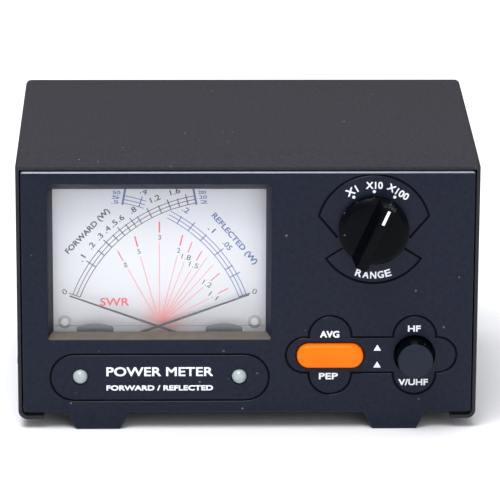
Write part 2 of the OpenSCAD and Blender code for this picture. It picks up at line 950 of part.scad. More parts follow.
module range_washer() {
    color(zinc) translate([knob_x, 0, knob_z]) difference() {
        rod(washer_r, -washer_t, 0);
        rod(bushing_r + washer_play, -over, over);
    }
}

module range_nut() {
    color(zinc) translate([knob_x, 0, knob_z]) difference() {
        translate([0, -washer_t, 0]) rotate([90, 0, 0]) cylinder(r = nut_r, h = nut_t, $fn = hex);
        rod(bushing_r + nut_play, -nut_t - over, over);
    }
}

module peak_button() {
    color(orange) translate([peak_x, 0, button_z]) {
        along_y(-peak_out, peak_flange_y) stadium(peak_w, peak_h);
        along_y(peak_flange_y - eps, peak_flange_y + peak_flange_t)
            stadium(peak_w + 2 * peak_flange, peak_h + 2 * peak_flange);
    }
}

// A square push rod between a cap and its switch
module plunger(x, y0, y1) {
    color(nylon) block([x - plunger_w / 2, y0, button_z - plunger_w / 2],
        [x + plunger_w / 2, y1, button_z + plunger_w / 2]);
}

// A latching push switch, its well open to the front
module push_switch(x) {
    color(zinc) difference() {
        block([x - push_size / 2, push_y, button_z - push_size / 2],
              [x + push_size / 2, board_y, button_z + push_size / 2]);
        block([x - push_well / 2, push_y - over, button_z - push_well / 2],
              [x + push_well / 2, push_well_end, button_z + push_well / 2]);
    }
}

// A tube of n sides swept along a list of points
function unit(v) = v / norm(v);
function heading(p, i) = unit(p[min(i + 1, len(p) - 1)] - p[max(i - 1, 0)]);
function ring(c, d, r, n) = let (
    side = unit(cross(d, abs(d.z) > 0.9 ? [1, 0, 0] : [0, 0, 1])),
    up = cross(side, d)
) [for (k = [0 : n - 1]) c + r * (cos(360 * k / n) * side + sin(360 * k / n) * up)];

module tube(p, r, n) {
    last = len(p) - 1;
    polyhedron(
        points = [for (i = [0 : last]) each ring(p[i], heading(p, i), r, n)],
        faces = concat(
            [[for (k = [0 : n - 1]) k]],
            [for (i = [0 : last - 1], k = [0 : n - 1])
                [i * n + k, (i + 1) * n + k, (i + 1) * n + (k + 1) % n, i * n + (k + 1) % n]],
            [[for (k = [n - 1 : -1 : 0]) last * n + k]]
        )
    );
}

// A compression spring along Y in a switch's well
module push_spring(x, y0, y1) {
    turns = 4;
    steps = 12;
    count = turns * steps;
    r = 1.1;
    wire = 0.3;
    sides = 6;
    rise = (y1 - y0 - 2 * wire) / count;
    color(zinc) tube([for (i = [0 : count]) let (a = 360 * i / steps)
        [x + r * cos(a), y0 + wire + rise * i, button_z + r * sin(a)]
    ], wire, sides);
}

module peak_plunger() {
    plunger(peak_x, peak_flange_y + peak_flange_t, peak_plunger_end);
}

module peak_spring() {
    push_spring(peak_x, peak_plunger_end, push_well_end);
}

module peak_switch() {
    push_switch(peak_x);
}

module band_button() {
    color(gloss_black) translate([band_x, 0, button_z]) {
        taper(band_face_r, band_base_r, -band_out, band_flange_y + eps);
        rod(band_flange_r, band_flange_y, band_flange_y + band_flange_t);
    }
}

module band_plunger() {
    plunger(band_x, band_flange_y + band_flange_t, band_plunger_end);
}

module band_spring() {
    push_spring(band_x, band_plunger_end, push_well_end);
}

module band_switch() {
    push_switch(band_x);
}

module coupler_boxes() {
    color(zinc) for (side = [-1, 1]) translate([side * pair_x, 0, socket_z]) difference() {
        block([-box_w / 2, box_front, -box_h / 2], [box_w / 2, box_back, box_h / 2]);
        block([-box_w / 2 + box_t, box_front - over, -box_h / 2 + box_t],
              [box_w / 2 - box_t, box_back - box_t, box_h / 2 - box_t]);
        for (s = [-1, 1]) {
            rod(barrel_in_r, box_back - 2 * box_t, box_back + over, s * socket_gap / 2, 0);
            for (dx = [-1, 1], dz = [-1, 1]) rod(screw_hole_r, box_back - 2 * box_t, box_back + over,
                s * socket_gap / 2 + dx * flange_hole, dz * flange_hole);
        }
    }
}

module coupler_lids() {
    color(zinc) for (side = [-1, 1]) translate([side * pair_x, 0, socket_z])
        block([-box_w / 2, box_front - box_t, -box_h / 2], [box_w / 2, box_front, box_h / 2]);
}

module coupler_boards() {
    color(pcb_green) for (side = [-1, 1]) translate([side * pair_x, 0, socket_z])
        block([-box_w / 2 + box_t, coupler_board_y, -box_h / 2 + box_t],
              [box_w / 2 - box_t, coupler_board_y + board_t, box_h / 2 - box_t]);
}

module through_lines() {
    color(brass) for (side = [-1, 1]) translate([side * pair_x, 0, socket_z])
        block([-socket_gap / 2 - contact_r, contact_start - line_t, -line_half],
              [socket_gap / 2 + contact_r, contact_start, line_half]);
}

// Repeats a piece on each socket's axis
module at_sockets() {
    for (x = socket_x) translate([x, 0, socket_z]) children();
}

module socket_shells() {
    color(zinc) at_sockets() difference() {
        union() {
            along_y(case_d, case_d + flange_t) square(flange_w, center = true);
            rod(socket_r, case_d + flange_t - eps, case_d + socket_out);
        }
        rod(barrel_in_r, case_d - over, case_d + socket_out + over);
        for (dx = [-1, 1], dz = [-1, 1])
            rod(screw_hole_r, case_d - over, case_d + flange_t + over, dx * flange_hole, dz * flange_hole);
    }
}

module socket_insulators() {
    color(nylon) at_sockets() difference() {
        union() {
            rod(insulator_r, insulator_y[0], insulator_y[1]);
            rod(nose_r, insulator_y[1] - eps, nose_y);
        }
        rod(contact_r + press_fit, insulator_y[0] - over, nose_y + over);
    }
}

module socket_contacts() {
    color(brass) at_sockets() difference() {
        rod(contact_r, contact_start, contact_end);
        rod(contact_bore_r, contact_end - contact_bore_deep, contact_end + over);
    }
}

module socket_screws() {
    color(zinc) at_sockets() for (dx = [-1, 1], dz = [-1, 1])
        translate([dx * flange_hole, case_d + flange_t, dz * flange_hole]) rotate([-90, 0, 0])
            screw(socket_screw_len, screw_head_r, screw_r);
}

module dc_jack() {
    color(gloss_black) translate([0, 0, jack_z]) difference() {
        union() {
            rod(jack_r, case_d - jack_deep, case_d + eps);
            rod(jack_flange_r, case_d, case_d + jack_flange_t);
        }
        rod(jack_bore_r, case_d - jack_bore_deep, case_d + jack_flange_t + over);
        rod(jack_root_r + press_fit, case_d - jack_pin_deep, case_d - jack_bore_deep + eps);
    }
}

module dc_jack_pin() {
    color(zinc) {
        rod(jack_root_r, case_d - jack_pin_deep, case_d - jack_bore_deep, 0, jack_z);
        rod(jack_pin_r, case_d - jack_bore_deep - eps, case_d + jack_pin_out, 0, jack_z);
    }
}

module dc_jack_nut() {
    color(zinc) translate([0, case_d - sheet_t, jack_z]) rotate([90, 0, 0]) difference() {
        cylinder(r = jack_nut_r, h = jack_nut_t, $fn = hex);
        translate([0, 0, -over]) cylinder(r = jack_r + nut_play, h = jack_nut_t + 2 * over);
    }
}

// Points along a cubic curve
function bezier(a, b, c, d, steps) = [for (i = [0 : steps]) let (t = i / steps, s = 1 - t)
    s * s * s * a + 3 * s * s * t * b + 3 * s * t * t * c + t * t * t * d];

// Two wires from a to b, each step further on, that leave a by out and reach b by back
module lead_pair(a, a_step, b, b_step, out, back) {
    for (k = [0, 1]) {
        start = a + k * a_step;
        end = b + k * b_step;
        tube(bezier(start, start + out, end + back, end, lead_steps), lead_r, lead_sides);
    }
}

module coupler_leads() {
    color(gloss_black) for (side = [-1, 1]) lead_pair(
        [side * pair_x, box_front - box_t, socket_z], coupler_lead_step,
        coupler_lead_end + side * coupler_lead_spread, coupler_end_step,
        [0, -lead_bow, 0], [0, lead_bow, 0]);
}

module meter_leads() {
    color([0.7, 0.12, 0.1]) lead_pair(
        meter_lead_start, meter_lead_step, meter_lead_end, meter_end_step,
        [0, meter_lead_bow, 0], [0, lead_bow, 0]);
}

module power_leads() {
    color([0.7, 0.12, 0.1]) lead_pair(
        power_lead_start, power_lead_step, power_lead_end, power_end_step,
        [0, -power_lead_bow, 0], [0, power_lead_bow, 0]);
}

in_case() cover();
in_case() chassis();
in_case() rear_panel();
in_case() front_panel();
in_case() rear_feet();
in_case() foot_screws();
in_case() cover_screws();
in_case() rear_panel_screws();
in_case() panel_screws();
in_case() meter_housing();
in_case() meter_cover();
in_case() dial_plate();
in_case() dial_screws();
in_case() front_bridges();
in_case() rear_bridges();
in_case() magnet_yokes();
in_case() core_magnets();
in_case() meter_screws();
in_case() forward_needle();
in_case() forward_coil();
in_case() forward_hairspring();
in_case() reflected_needle();
in_case() reflected_coil();
in_case() reflected_hairspring();
in_case() indicator_leds();
in_case() led_board();
in_case() front_board();
in_case() board_standoffs();
in_case() board_screws();
in_case() range_knob();
in_case() knob_pointer();
in_case() range_shaft();
in_case() range_rotor();
in_case() range_switch();
in_case() range_washer();
in_case() range_nut();
in_case() peak_button();
in_case() peak_plunger();
in_case() peak_spring();
in_case() peak_switch();
in_case() band_button();
in_case() band_plunger();
in_case() band_spring();
in_case() band_switch();
in_case() coupler_boxes();
in_case() coupler_lids();
in_case() coupler_boards();
in_case() through_lines();
in_case() socket_shells();
in_case() socket_insulators();
in_case() socket_contacts();
in_case() socket_screws();
in_case() dc_jack();
in_case() dc_jack_pin();
in_case() dc_jack_nut();
in_case() coupler_leads();
in_case() meter_leads();
in_case() power_leads();
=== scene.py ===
"""Finished pieces, surfaces and studio for a desk-top cross-needle power meter."""

import math
import types

import bmesh
import bpy
from bpy.props import FloatProperty, FloatVectorProperty, IntProperty, PointerProperty
from mathutils import Matrix, Vector


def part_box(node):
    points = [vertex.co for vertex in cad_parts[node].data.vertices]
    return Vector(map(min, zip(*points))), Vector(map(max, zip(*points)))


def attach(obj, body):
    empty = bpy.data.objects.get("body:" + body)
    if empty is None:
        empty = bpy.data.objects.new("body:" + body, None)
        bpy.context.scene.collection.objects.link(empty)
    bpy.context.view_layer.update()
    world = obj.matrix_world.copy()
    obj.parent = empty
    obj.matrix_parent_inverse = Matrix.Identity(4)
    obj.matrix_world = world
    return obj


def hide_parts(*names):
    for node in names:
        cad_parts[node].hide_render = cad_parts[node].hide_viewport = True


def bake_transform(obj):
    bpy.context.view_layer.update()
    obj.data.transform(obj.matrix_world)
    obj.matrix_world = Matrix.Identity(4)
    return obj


bl_info = {
    "name": "Cross-needle meter",
    "version": (1, 0, 0),
    "blender": (4, 5, 0),
    "location": "3D View > Sidebar > Meter",
    "description": "Builds the finished pieces, surfaces and studio of a desk-top power meter",
    "category": "Object",
}

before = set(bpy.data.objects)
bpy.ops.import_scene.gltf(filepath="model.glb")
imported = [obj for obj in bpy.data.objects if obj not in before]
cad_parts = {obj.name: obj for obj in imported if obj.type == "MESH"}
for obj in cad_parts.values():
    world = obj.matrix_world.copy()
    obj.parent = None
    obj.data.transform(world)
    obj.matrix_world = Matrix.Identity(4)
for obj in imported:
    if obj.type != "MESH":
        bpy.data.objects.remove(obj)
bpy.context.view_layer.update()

MM = 0.001
FACE_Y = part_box("front_panel")[0].y
TO_FRAME = Matrix.Translation((0.0, FACE_Y, 0.0)) @ Matrix.Scale(MM, 4)
UPRIGHT = Matrix.Rotation(math.radians(90.0), 4, "X")
MERGE = 0.002
KEY_WIDTH = 22.4
KEY_HIGH = 8.1
LAYER = 0.004
CHORD = 6


# ---------------------------------------------------------------- settings


def length(name, description, value):
    """A length, given in millimetres and kept in metres."""
    return FloatProperty(name=name, description=description, default=value * MM, unit="LENGTH")


def turn(name, description, value):
    """An angle, given in degrees and kept in radians."""
    return FloatProperty(
        name=name, description=description, default=math.radians(value), unit="ROTATION")


def tint(name, description, red, green, blue):
    """A colour, given as display values up to 255 and kept as linear light."""
    linear = [((v / 255.0 + 0.055) / 1.055) ** 2.4 for v in (red, green, blue)]
    return FloatVectorProperty(
        name=name, description=description, default=linear, subtype="COLOR", size=3, min=0.0, max=1.0)


class CaseSettings(bpy.types.PropertyGroup):
    """Sizes of the sheet-steel case."""

    width: length("Width", "Outside width of the cover", 155.0)
    depth: length("Depth", "From the panel's face to the back", 105.0)
    top: length("Top", "Height of the cover's top above the floor", 94.4)
    bottom: length("Bottom", "Height of the underside above the floor", 3.5)
    sheet: length("Sheet", "Thickness of the steel", 1.2)
    front: length("Front edge", "How far the cover starts behind the panel's face", 0.8)
    brow: length("Brow", "Depth of the band that slopes down to the front", 16.6)
    drop: length("Drop", "How far the band drops", 1.9)
    fold: length("Fold", "Length over which the sheet bends at the band", 2.4)
    lip: length("Lip", "Width of the lips under the case", 8.6)
    top_radius: length("Top radius", "Radius of the upper corners", 2.0)
    bottom_radius: length("Bottom radius", "Radius of the lower corners", 3.0)
    edge: length("Edge", "Rounding of the cut edges", 0.22)
    screw_x: length("Rear screws", "Distance of the rear screws from the middle", 66.0)
    screw_z: length("Rear screw height", "Height of the rear screws", 12.0)
    side_screw_z: length("Side screw height", "Height of the side screws", 13.0)
    side_screw_front: length("Front side screw", "Depth of the front pair of side screws", 35.0)
    side_screw_back: length("Back side screw", "Depth of the back pair of side screws", 90.0)
    foot_x: length("Foot", "Distance of the rear feet from the middle", 48.0)
    foot_y: length("Foot depth", "Depth of the rear feet", 92.0)


class PanelSettings(bpy.types.PropertyGroup):
    """Sizes of the moulded front panel."""

    width: length("Width", "Width of the panel", 151.8)
    low: length("Lower edge", "Height of the lower edge", 5.9)
    high: length("Upper edge", "Height of the upper edge", 90.9)
    thick: length("Thickness", "Thickness of the face", 2.5)
    rim: length("Rim", "Depth of the rim behind the face", 13.0)
    rim_thick: length("Rim thickness", "Thickness of the rim", 1.6)
    edge: length("Edge", "Rounding of the outer edge", 0.9)
    chamfer: length("Chamfer", "Bevel at the holes and grooves", 0.14)
    groove: length("Groove", "Width of the engraved lines", 0.6)
    groove_deep: length("Groove depth", "Depth of the engraved lines", 0.4)
    left_tab: length("Left tab", "Place of the left foot tab", -50.5)
    right_tab: length("Right tab", "Place of the right foot tab", 49.9)
    tab_top: length("Tab top", "Width of a foot tab at the panel", 21.5)
    tab_bottom: length("Tab bottom", "Width of a foot tab at the floor", 15.0)
    tab_deep: length("Tab depth", "Depth of a foot tab", 14.0)
    window_low: length("Window low", "Lower edge of the window", 32.1)
    window_high: length("Window high", "Upper edge of the window", 86.6)
    window_width: length("Window width", "Width of the window at the face", 75.0)
    window_deep: length("Window depth", "Depth of the window's slopes", 5.0)
    inner_low: length("Inner low", "Lower edge of the window behind its slopes", 33.35)
    inner_high: length("Inner high", "Upper edge of the window behind its slopes", 83.6)
    inner_width: length("Inner width", "Width of the window behind its slopes", 71.6)
    plate_width: length("Plate width", "Width of the outline under the window", 74.4)
    plate_high: length("Plate height", "Height of the outline under the window", 17.0)
    plate_z: length("Plate middle", "Height of that outline's middle", 18.6)
    lamp_dx: length("Lamp offset", "Distance of each lamp from the meter's middle", 26.85)
    lamp_z: length("Lamp height", "Height of the lamps", 18.9)
    lamp_radius: length("Lamp radius", "Radius of each lamp", 2.5)


class MeterSettings(bpy.types.PropertyGroup):
    """Sizes of the meter and of the lines on its dial."""

    x: length("Middle", "Place of the meter's middle", -29.6)
    pivot_dx: length("Pivot", "Distance of each pivot from the middle", 21.8)
    pivot_z: length("Pivot height", "Height of the pivots", 26.0)
    rest: turn("Rest", "Lean of a resting needle from upright", 70.0)
    sweep: turn("Sweep", "Angle from nought to full scale", 59.5)
    arc: length("Arc", "Radius of a scale's outer line", 54.4)
    arc_gap: length("Arc gap", "Distance between a scale's lines", 1.3)
    fan: length("Fan", "Distance of the red lines' tops from a pivot", 49.5)
    root_z: length("Root", "Height at which the red lines start", 33.9)
    line: length("Line", "Width of a printed line", 0.26)
    forward_full: FloatProperty(name="Forward full scale", description="Watts", default=2.0)
    reflected_full: FloatProperty(name="Reflected full scale", description="Watts", default=0.5)


class ControlSettings(bpy.types.PropertyGroup):
    """Sizes of the knob, its scale and the two buttons."""

    knob_x: length("Knob", "Place of the knob", 42.1)
    knob_z: length("Knob height", "Height of the knob", 71.0)
    knob_radius: length("Knob radius", "Radius of the knob's skirt", 11.7)
    knob_out: length("Knob out", "How far the knob stands out", 13.0)
    pointing: turn("Pointing", "Turn of the knob from upright", 24.0)
    dial_radius: length("Outline", "Radius of the outline round the knob", 19.2)
    dots: length("Dots", "Radius on which the range dots lie", 13.1)
    step: turn("Step", "Angle between two range dots", 31.5)
    peak_x: length("Key", "Place of the orange key", 27.9)
    band_x: length("Button", "Place of the round button", 56.4)
    button_z: length("Button height", "Height of both", 26.5)
    cluster_x: length("Outline middle", "Middle of the outline round both", 41.75)
    cluster_width: length("Outline width", "Width of that outline", 58.2)
    cluster_high: length("Outline height", "Height of its straight part", 13.2)
    lobe_radius: length("Lobe radius", "Radius of its lobes", 7.5)
    lobe_dz: length("Lobe offset", "Distance of the lobes' middles from its middle", 6.7)


class SocketSettings(bpy.types.PropertyGroup):
    """Sizes of the coaxial sockets on the back."""

    z: length("Height", "Height of the row", 50.0)
    near: length("Near", "Distance of the inner sockets from the middle", 22.0)
    far: length("Far", "Distance of the outer sockets from the middle", 54.0)
    radius: length("Thread radius", "Radius over the thread", 7.94)
    bore: length("Bore", "Radius of the mouth", 6.3)
    out: length("Out", "How far a socket stands out", 14.0)
    flange: length("Flange", "Width of the square flange", 25.4)
    flange_thick: length("Flange thickness", "Thickness of the flange", 1.6)
    screw_offset: length("Screw offset", "Distance of its screws from the axis", 9.1)
    pitch: length("Pitch", "Pitch of the thread", 1.06)
    turns: IntProperty(name="Turns", description="Turns of the thread", default=10)
    jack_z: length("Jack height", "Height of the supply jack", 22.0)


class FinishSettings(bpy.types.PropertyGroup):
    """Colours of the surfaces."""

    cover: tint("Cover", "Paint of the cover", 42, 42, 46)
    panel: tint("Panel", "Plastic of the panel", 12, 17, 31)
    # Painted highlight: a light colour on the rounding of the panel's top edge stands in for the lamp above
    # shining on it.
    edge: tint("Edge", "Painted highlight on the panel's upper edge", 112, 115, 126)
    knob: tint("Knob", "Plastic of the knob", 2, 4, 8)
    button: tint("Button", "Plastic of the round button", 28, 33, 45)
    orange: tint("Orange", "Plastic of the key", 252, 116, 0)
    legend: tint("Legend", "White print", 240, 243, 250)
    dial: tint("Dial", "Ground of the dial", 231, 231, 236)
    # Painted glow: a pink pool of light painted on the dial round the root of the red lines.
    painted_glow: tint("Pink glow", "Painted glow round the root of the red lines", 255, 140, 135)
    # Painted highlight: the window's lower slope faces up, and a light brownish colour on it stands in for
    # the light it catches and reflects; it is the panel's own plastic.
    ledge_highlight: tint("Ledge", "Painted highlight on the window's lower slope", 84, 77, 70)
    ink: tint("Ink", "Black print of the dial", 42, 42, 50)
    blue: tint("Blue", "Blue print of the dial", 62, 92, 160)
    red: tint("Red", "Red print of the dial", 232, 84, 88)
    pink: tint("Pink", "Thin red lines of the dial", 244, 150, 150)
    lamp: tint("Lamp", "Milky plastic of the lamps", 168, 180, 182)


class StudioSettings(bpy.types.PropertyGroup):
    """Camera, floor and lights."""

    camera_x: length("Camera across", "Place of the camera", -23.468)
    camera_y: length("Camera back", "Place of the camera", -1325.8)
    camera_z: length("Camera height", "Place of the camera", 466.18)
    pitch: turn("Pitch", "How far the camera looks down", 17.543)
    yaw: turn("Yaw", "How far the camera looks to the right", 1.089)
    roll: turn("Roll", "How far the camera leans", 0.243)
    lens: FloatProperty(
        name="Lens", description="Focal length", default=287.3, unit="CAMERA", subtype="NONE")
    floor: tint("Floor", "Colour of the floor", 238, 238, 240)
    key: FloatProperty(name="Key", description="Power of the key light", default=19.0, unit="POWER")
    fill: FloatProperty(name="Fill", description="Power of the fill light", default=5.0, unit="POWER")
    rear: FloatProperty(
        name="Rear", description="Power of the light behind the meter", default=16.0, unit="POWER")
    sky: FloatProperty(name="Sky", description="Strength of the surrounding light", default=0.5)


GROUPS = {
    "meter_case": CaseSettings,
    "meter_panel": PanelSettings,
    "meter_scale": MeterSettings,
    "meter_controls": ControlSettings,
    "meter_sockets": SocketSettings,
    "meter_finish": FinishSettings,
    "meter_studio": StudioSettings,
}


def read(group):
    """A group's values by name: lengths in millimetres, angles in degrees, the rest as they are."""
    values = {}
    settings = getattr(bpy.context.scene, group)
    for key, kind in settings.bl_rna.properties.items():
        value = getattr(settings, key)
        if kind.type == "FLOAT" and kind.unit == "LENGTH":
            value = value / MM
        elif kind.type == "FLOAT" and kind.unit == "ROTATION":
            value = math.degrees(value)
        values[key] = value
    return types.SimpleNamespace(**values)


# ---------------------------------------------------------------- outlines


def arc(x, z, radius, start, end, count):
    """Points along an arc, its ends included, with angles in degrees from +X towards +Z."""
    angles = [math.radians(start + (end - start) * k / count) for k in range(count + 1)]
    return [(x + radius * math.cos(a), z + radius * math.sin(a)) for a in angles]


def circle(x, z, radius, count=64):
    return arc(x, z, radius, 0.0, 360.0, count)[:-1]


def stadium(x, z, width, high, count=24):
    """A bar with half-round ends."""
    radius = high / 2.0
    reach = (width - high) / 2.0
    right = arc(x + reach, z, radius, -90.0, 90.0, count)
    return right + arc(x - reach, z, radius, 90.0, 270.0, count)


def rounded(left, right, low, high, radius, count=6):
    """A rectangle with round corners."""
    return (
        arc(right - radius, low + radius, radius, -90.0, 0.0, count)
        + arc(right - radius, high - radius, radius, 0.0, 90.0, count)
        + arc(left + radius, high - radius, radius, 90.0, 180.0, count)
        + arc(left + radius, low + radius, radius, 180.0, 270.0, count)
    )


def side_step(before, here, after, distance):
    """Where a point goes when the line through it moves to its right, with a mitred corner."""
    into = (here - before).normalized()
    out = (after - here).normalized()
    right_in = Vector((into.y, -into.x))
    right_out = Vector((out.y, -out.x))
    share = max(1.0 + right_in.dot(right_out), 0.3)
    return here + (right_in + right_out) * (distance / share)


def grown(loop, distance):
    """A closed outline, drawn anticlockwise, moved outwards."""
    points = [Vector(p) for p in loop]
    count = len(points)
    return [
        tuple(side_step(points[k - 1], points[k], points[(k + 1) % count], distance))
        for k in range(count)
    ]


def ribbon(path, width):
    """The outline of a line of some width along an open path."""
    points = [Vector(p) for p in path]
    before = [points[0] * 2 - points[1]] + points[:-1]
    after = points[1:] + [points[-1] * 2 - points[-2]]
    right = [side_step(*trio, width / 2.0) for trio in zip(before, points, after)]
    left = [side_step(*trio, -width / 2.0) for trio in zip(before, points, after)]
    outline = [tuple(p) for p in right + left[::-1]]
    doubled = sum(a[0] * b[1] - b[0] * a[1] for a, b in zip(outline, outline[1:] + outline[:1]))
    return outline if doubled > 0 else outline[::-1]


def meeting(centre_a, radius_a, centre_b, radius_b, side):
    """One of the two points where two circles cross."""
    across = centre_b - centre_a
    gap = across.length
    along = (radius_a ** 2 - radius_b ** 2 + gap ** 2) / (2.0 * gap)
    off = math.sqrt(radius_a ** 2 - along ** 2)
    unit = across / gap
    return centre_a + unit * along + Vector((-unit.y, unit.x)) * off * side


def angle_of(point, centre):
    return math.degrees(math.atan2(point.y - centre.y, point.x - centre.x))


def cluster(c):
    """The outline round both buttons: a bar with round ends and a lobe over and under each button."""
    end_radius = c.cluster_high / 2.0
    reach = (c.cluster_width - c.cluster_high) / 2.0
    right_end = Vector((reach, 0.0))
    left_end = Vector((-reach, 0.0))
    right_lobe = Vector((c.band_x - c.cluster_x, c.lobe_dz))
    left_lobe = Vector((c.peak_x - c.cluster_x, c.lobe_dz))
    right_meet = meeting(right_end, end_radius, right_lobe, c.lobe_radius, -1.0)
    left_meet = meeting(left_end, end_radius, left_lobe, c.lobe_radius, 1.0)
    dip = math.degrees(math.asin((end_radius - c.lobe_dz) / c.lobe_radius))
    upper = arc(*right_end, end_radius, 0.0, angle_of(right_meet, right_end), 10)
    upper += arc(*right_lobe, c.lobe_radius, angle_of(right_meet, right_lobe), 180.0 - dip, 24)[1:]
    last = angle_of(left_meet, left_lobe) % 360.0
    upper += arc(*left_lobe, c.lobe_radius, dip, last, 24)
    upper += arc(*left_end, end_radius, angle_of(left_meet, left_end), 180.0, 10)[1:]
    outline = upper + [(x, -z) for x, z in upper[-2:0:-1]]
    return [(c.cluster_x + x, c.button_z + z) for x, z in outline]


def knob_lines(c, width):
    """The two lines round the knob: an arc over it and one under it, each running in at its ends."""
    middle = c.dial_radius - width / 2.0
    near = 12.4
    high = 14.0
    low = 33.0

    def at(radius, angle):
        return arc(c.knob_x, c.knob_z, radius, angle, angle, 1)[0]

    over = [at(near, -high)] + arc(c.knob_x, c.knob_z, middle, high, 180.0 - high, 72)
    over += [at(near, 180.0 + high)]
    under = [at(near, 180.0 + low)] + arc(c.knob_x, c.knob_z, middle, 180.0 + low, 360.0 - low, 56)
    under += [at(near, -low)]
    return ribbon(over, width), ribbon(under, width)


# ---------------------------------------------------------------- mesh steps


def ring(bm, loop, y):
    """A closed ring, drawn in X and Z at one depth: its corners in order."""
    verts = [bm.verts.new((x, y, z)) for x, z in loop]
    for pair in zip(verts, verts[1:] + verts[:1]):
        bm.edges.new(pair)
    return verts


def rim(bm, verts):
    """The edges round a ring."""
    return [bm.edges.get(pair) for pair in zip(verts, verts[1:] + verts[:1])]


def walls(bm, *steps):
    """Walls through outlines that follow one another, each at its depth. Gives back the rings."""
    rings = [ring(bm, *steps[0])]
    for loop, y in steps[1:]:
        made = bmesh.ops.extrude_edge_only(bm, edges=rim(bm, rings[-1]))
        fresh = {v for v in made["geom"] if isinstance(v, bmesh.types.BMVert)}
        follow = []
        for vert, (x, z) in zip(rings[-1], loop):
            moved = next(e.other_vert(vert) for e in vert.link_edges if e.other_vert(vert) in fresh)
            moved.co = (x, y, z)
            follow.append(moved)
        rings.append(follow)
    return rings


def fill(bm, *rings):
    """A flat face inside the first ring, with the others as holes."""
    edges = [edge for one in rings for edge in rim(bm, one)]
    bmesh.ops.triangle_fill(bm, use_beauty=True, edges=edges)


def pocket(bm, loop, chamfer, back):
    """The wall of a hole from the face to a depth, bevelled at the face. A minus chamfer is an island's."""
    return walls(bm, (grown(loop, chamfer), 0.0), (loop, abs(chamfer)), (loop, back))


def slab(bm, loop, front, back, edge=0.0, steps=3):
    """A plate from front to back, with its front edge rounded."""
    path = []
    for k in range(steps if edge else 0):
        a = math.radians(90.0 * k / steps)
        path.append((grown(loop, -edge * (1.0 - math.sin(a))), front + edge * (1.0 - math.cos(a))))
    rings = walls(bm, *path, (loop, front + edge), (loop, back))
    fill(bm, rings[0])
    fill(bm, rings[-1])


def box(bm, low, high):
    """A plain block from corner to corner, for use inside other shapes."""
    size = [b - a for a, b in zip(low, high)]
    middle = [(a + b) / 2.0 for a, b in zip(low, high)]
    place = Matrix.Translation(middle) @ Matrix.Diagonal((*size, 1.0))
    return bmesh.ops.create_cube(bm, size=1.0, matrix=place)["verts"]


def lathe(bm, profile, place=Matrix(), steps=64, closed=False):
    """A profile of radius and depth pairs, turned about Y and then put in place."""
    verts = [bm.verts.new((radius, y, 0.0)) for radius, y in profile]
    pairs = list(zip(verts, verts[1:] + verts[:1])) if closed else list(zip(verts, verts[1:]))
    edges = [bm.edges.new(pair) for pair in pairs]
    before = set(bm.verts) - set(verts)
    bmesh.ops.spin(
        bm, geom=verts + edges, cent=(0, 0, 0), axis=(0, 1, 0),
        angle=math.radians(360.0), steps=steps, use_merge=True)
    made = [v for v in bm.verts if v not in before]
    bmesh.ops.remove_doubles(bm, verts=made, dist=MERGE)
    made = [v for v in bm.verts if v not in before]
    bmesh.ops.transform(bm, matrix=place, verts=made)


def carve(bm, tool, operation="DIFFERENCE"):
    """A new bmesh: the first shape with the tool cut out of it or joined to it."""
    pair = []
    for shape in (bm, tool):
        bmesh.ops.recalc_face_normals(shape, faces=shape.faces)
        mesh = bpy.data.meshes.new("work")
        shape.to_mesh(mesh)
        shape.free()
        pair.append(bpy.data.objects.new("work", mesh))
        bpy.context.scene.collection.objects.link(pair[-1])
    base, cutter = pair
    step = base.modifiers.new("cut", "BOOLEAN")
    step.operation = operation
    step.solver = "EXACT"
    step.object = cutter
    bpy.context.view_layer.update()
    made = bpy.data.meshes.new_from_object(base.evaluated_get(bpy.context.evaluated_depsgraph_get()))
    if not made.polygons:
        raise RuntimeError("a cut left nothing")
    result = bmesh.new()
    result.from_mesh(made)
    bpy.data.meshes.remove(made)
    for item in pair:
        mesh = item.data
        bpy.data.objects.remove(item)
        bpy.data.meshes.remove(mesh)
    return result


def copy_in(bm, source, place):
    """Adds another bmesh's shape at a place."""
    mesh = bpy.data.meshes.new("work")
    source.to_mesh(mesh)
    mesh.transform(place)
    bm.from_mesh(mesh)
    bpy.data.meshes.remove(mesh)


def flat(bm, outline, y, index=0):
    """A printed shape at a depth, facing the front."""
    face = bm.faces.new([bm.verts.new((x, y, z)) for x, z in outline])
    face.material_index = index


def lettering(bm, text, place, width, high, index=0, weight=0.1):
    """Printed text of a given width and height, its middle at the place and facing the front.

    Its strokes are thickened on each side by the weight, in millimetres, with copies laid over one another.
    """
    curve = bpy.data.curves.new("lettering", "FONT")
    curve.body = text
    curve.resolution_u = 3
    holder = bpy.data.objects.new("lettering", curve)
    bpy.context.scene.collection.objects.link(holder)
    bpy.context.view_layer.update()
    mesh = bpy.data.meshes.new_from_object(
        holder.evaluated_get(bpy.context.evaluated_depsgraph_get()))
    low = [min(v.co[k] for v in mesh.vertices) for k in range(2)]
    top = [max(v.co[k] for v in mesh.vertices) for k in range(2)]
    spread = 2.0 * weight
    size = ((width - spread) / (top[0] - low[0]), (high - spread) / (top[1] - low[1]))
    centre = Matrix.Translation((-(low[0] + top[0]) / 2.0, -(low[1] + top[1]) / 2.0, 0.0))
    mesh.transform(Matrix.Diagonal((*size, 1.0, 1.0)) @ centre)
    before = len(bm.faces)
    for k, (across, up) in enumerate(((-1, -1), (-1, 1), (1, 1), (1, -1)) if weight else ((0, 0),)):
        copy = mesh.copy()
        copy.transform(place @ UPRIGHT @ Matrix.Translation((across * weight, up * weight, LAYER * k)))
        bm.from_mesh(copy)
        bpy.data.meshes.remove(copy)
    bm.faces.ensure_lookup_table()
    for face in bm.faces[before:]:
        face.material_index = index
    bpy.data.objects.remove(holder)
    bpy.data.curves.remove(curve)
    bpy.data.meshes.remove(mesh)


def spot(x, y, z, lean=0.0):
    """A place on a face, leaning anticlockwise by an angle in degrees as seen from the front."""
    return Matrix.Translation((x, y, z)) @ Matrix.Rotation(math.radians(-lean), 4, "Y")


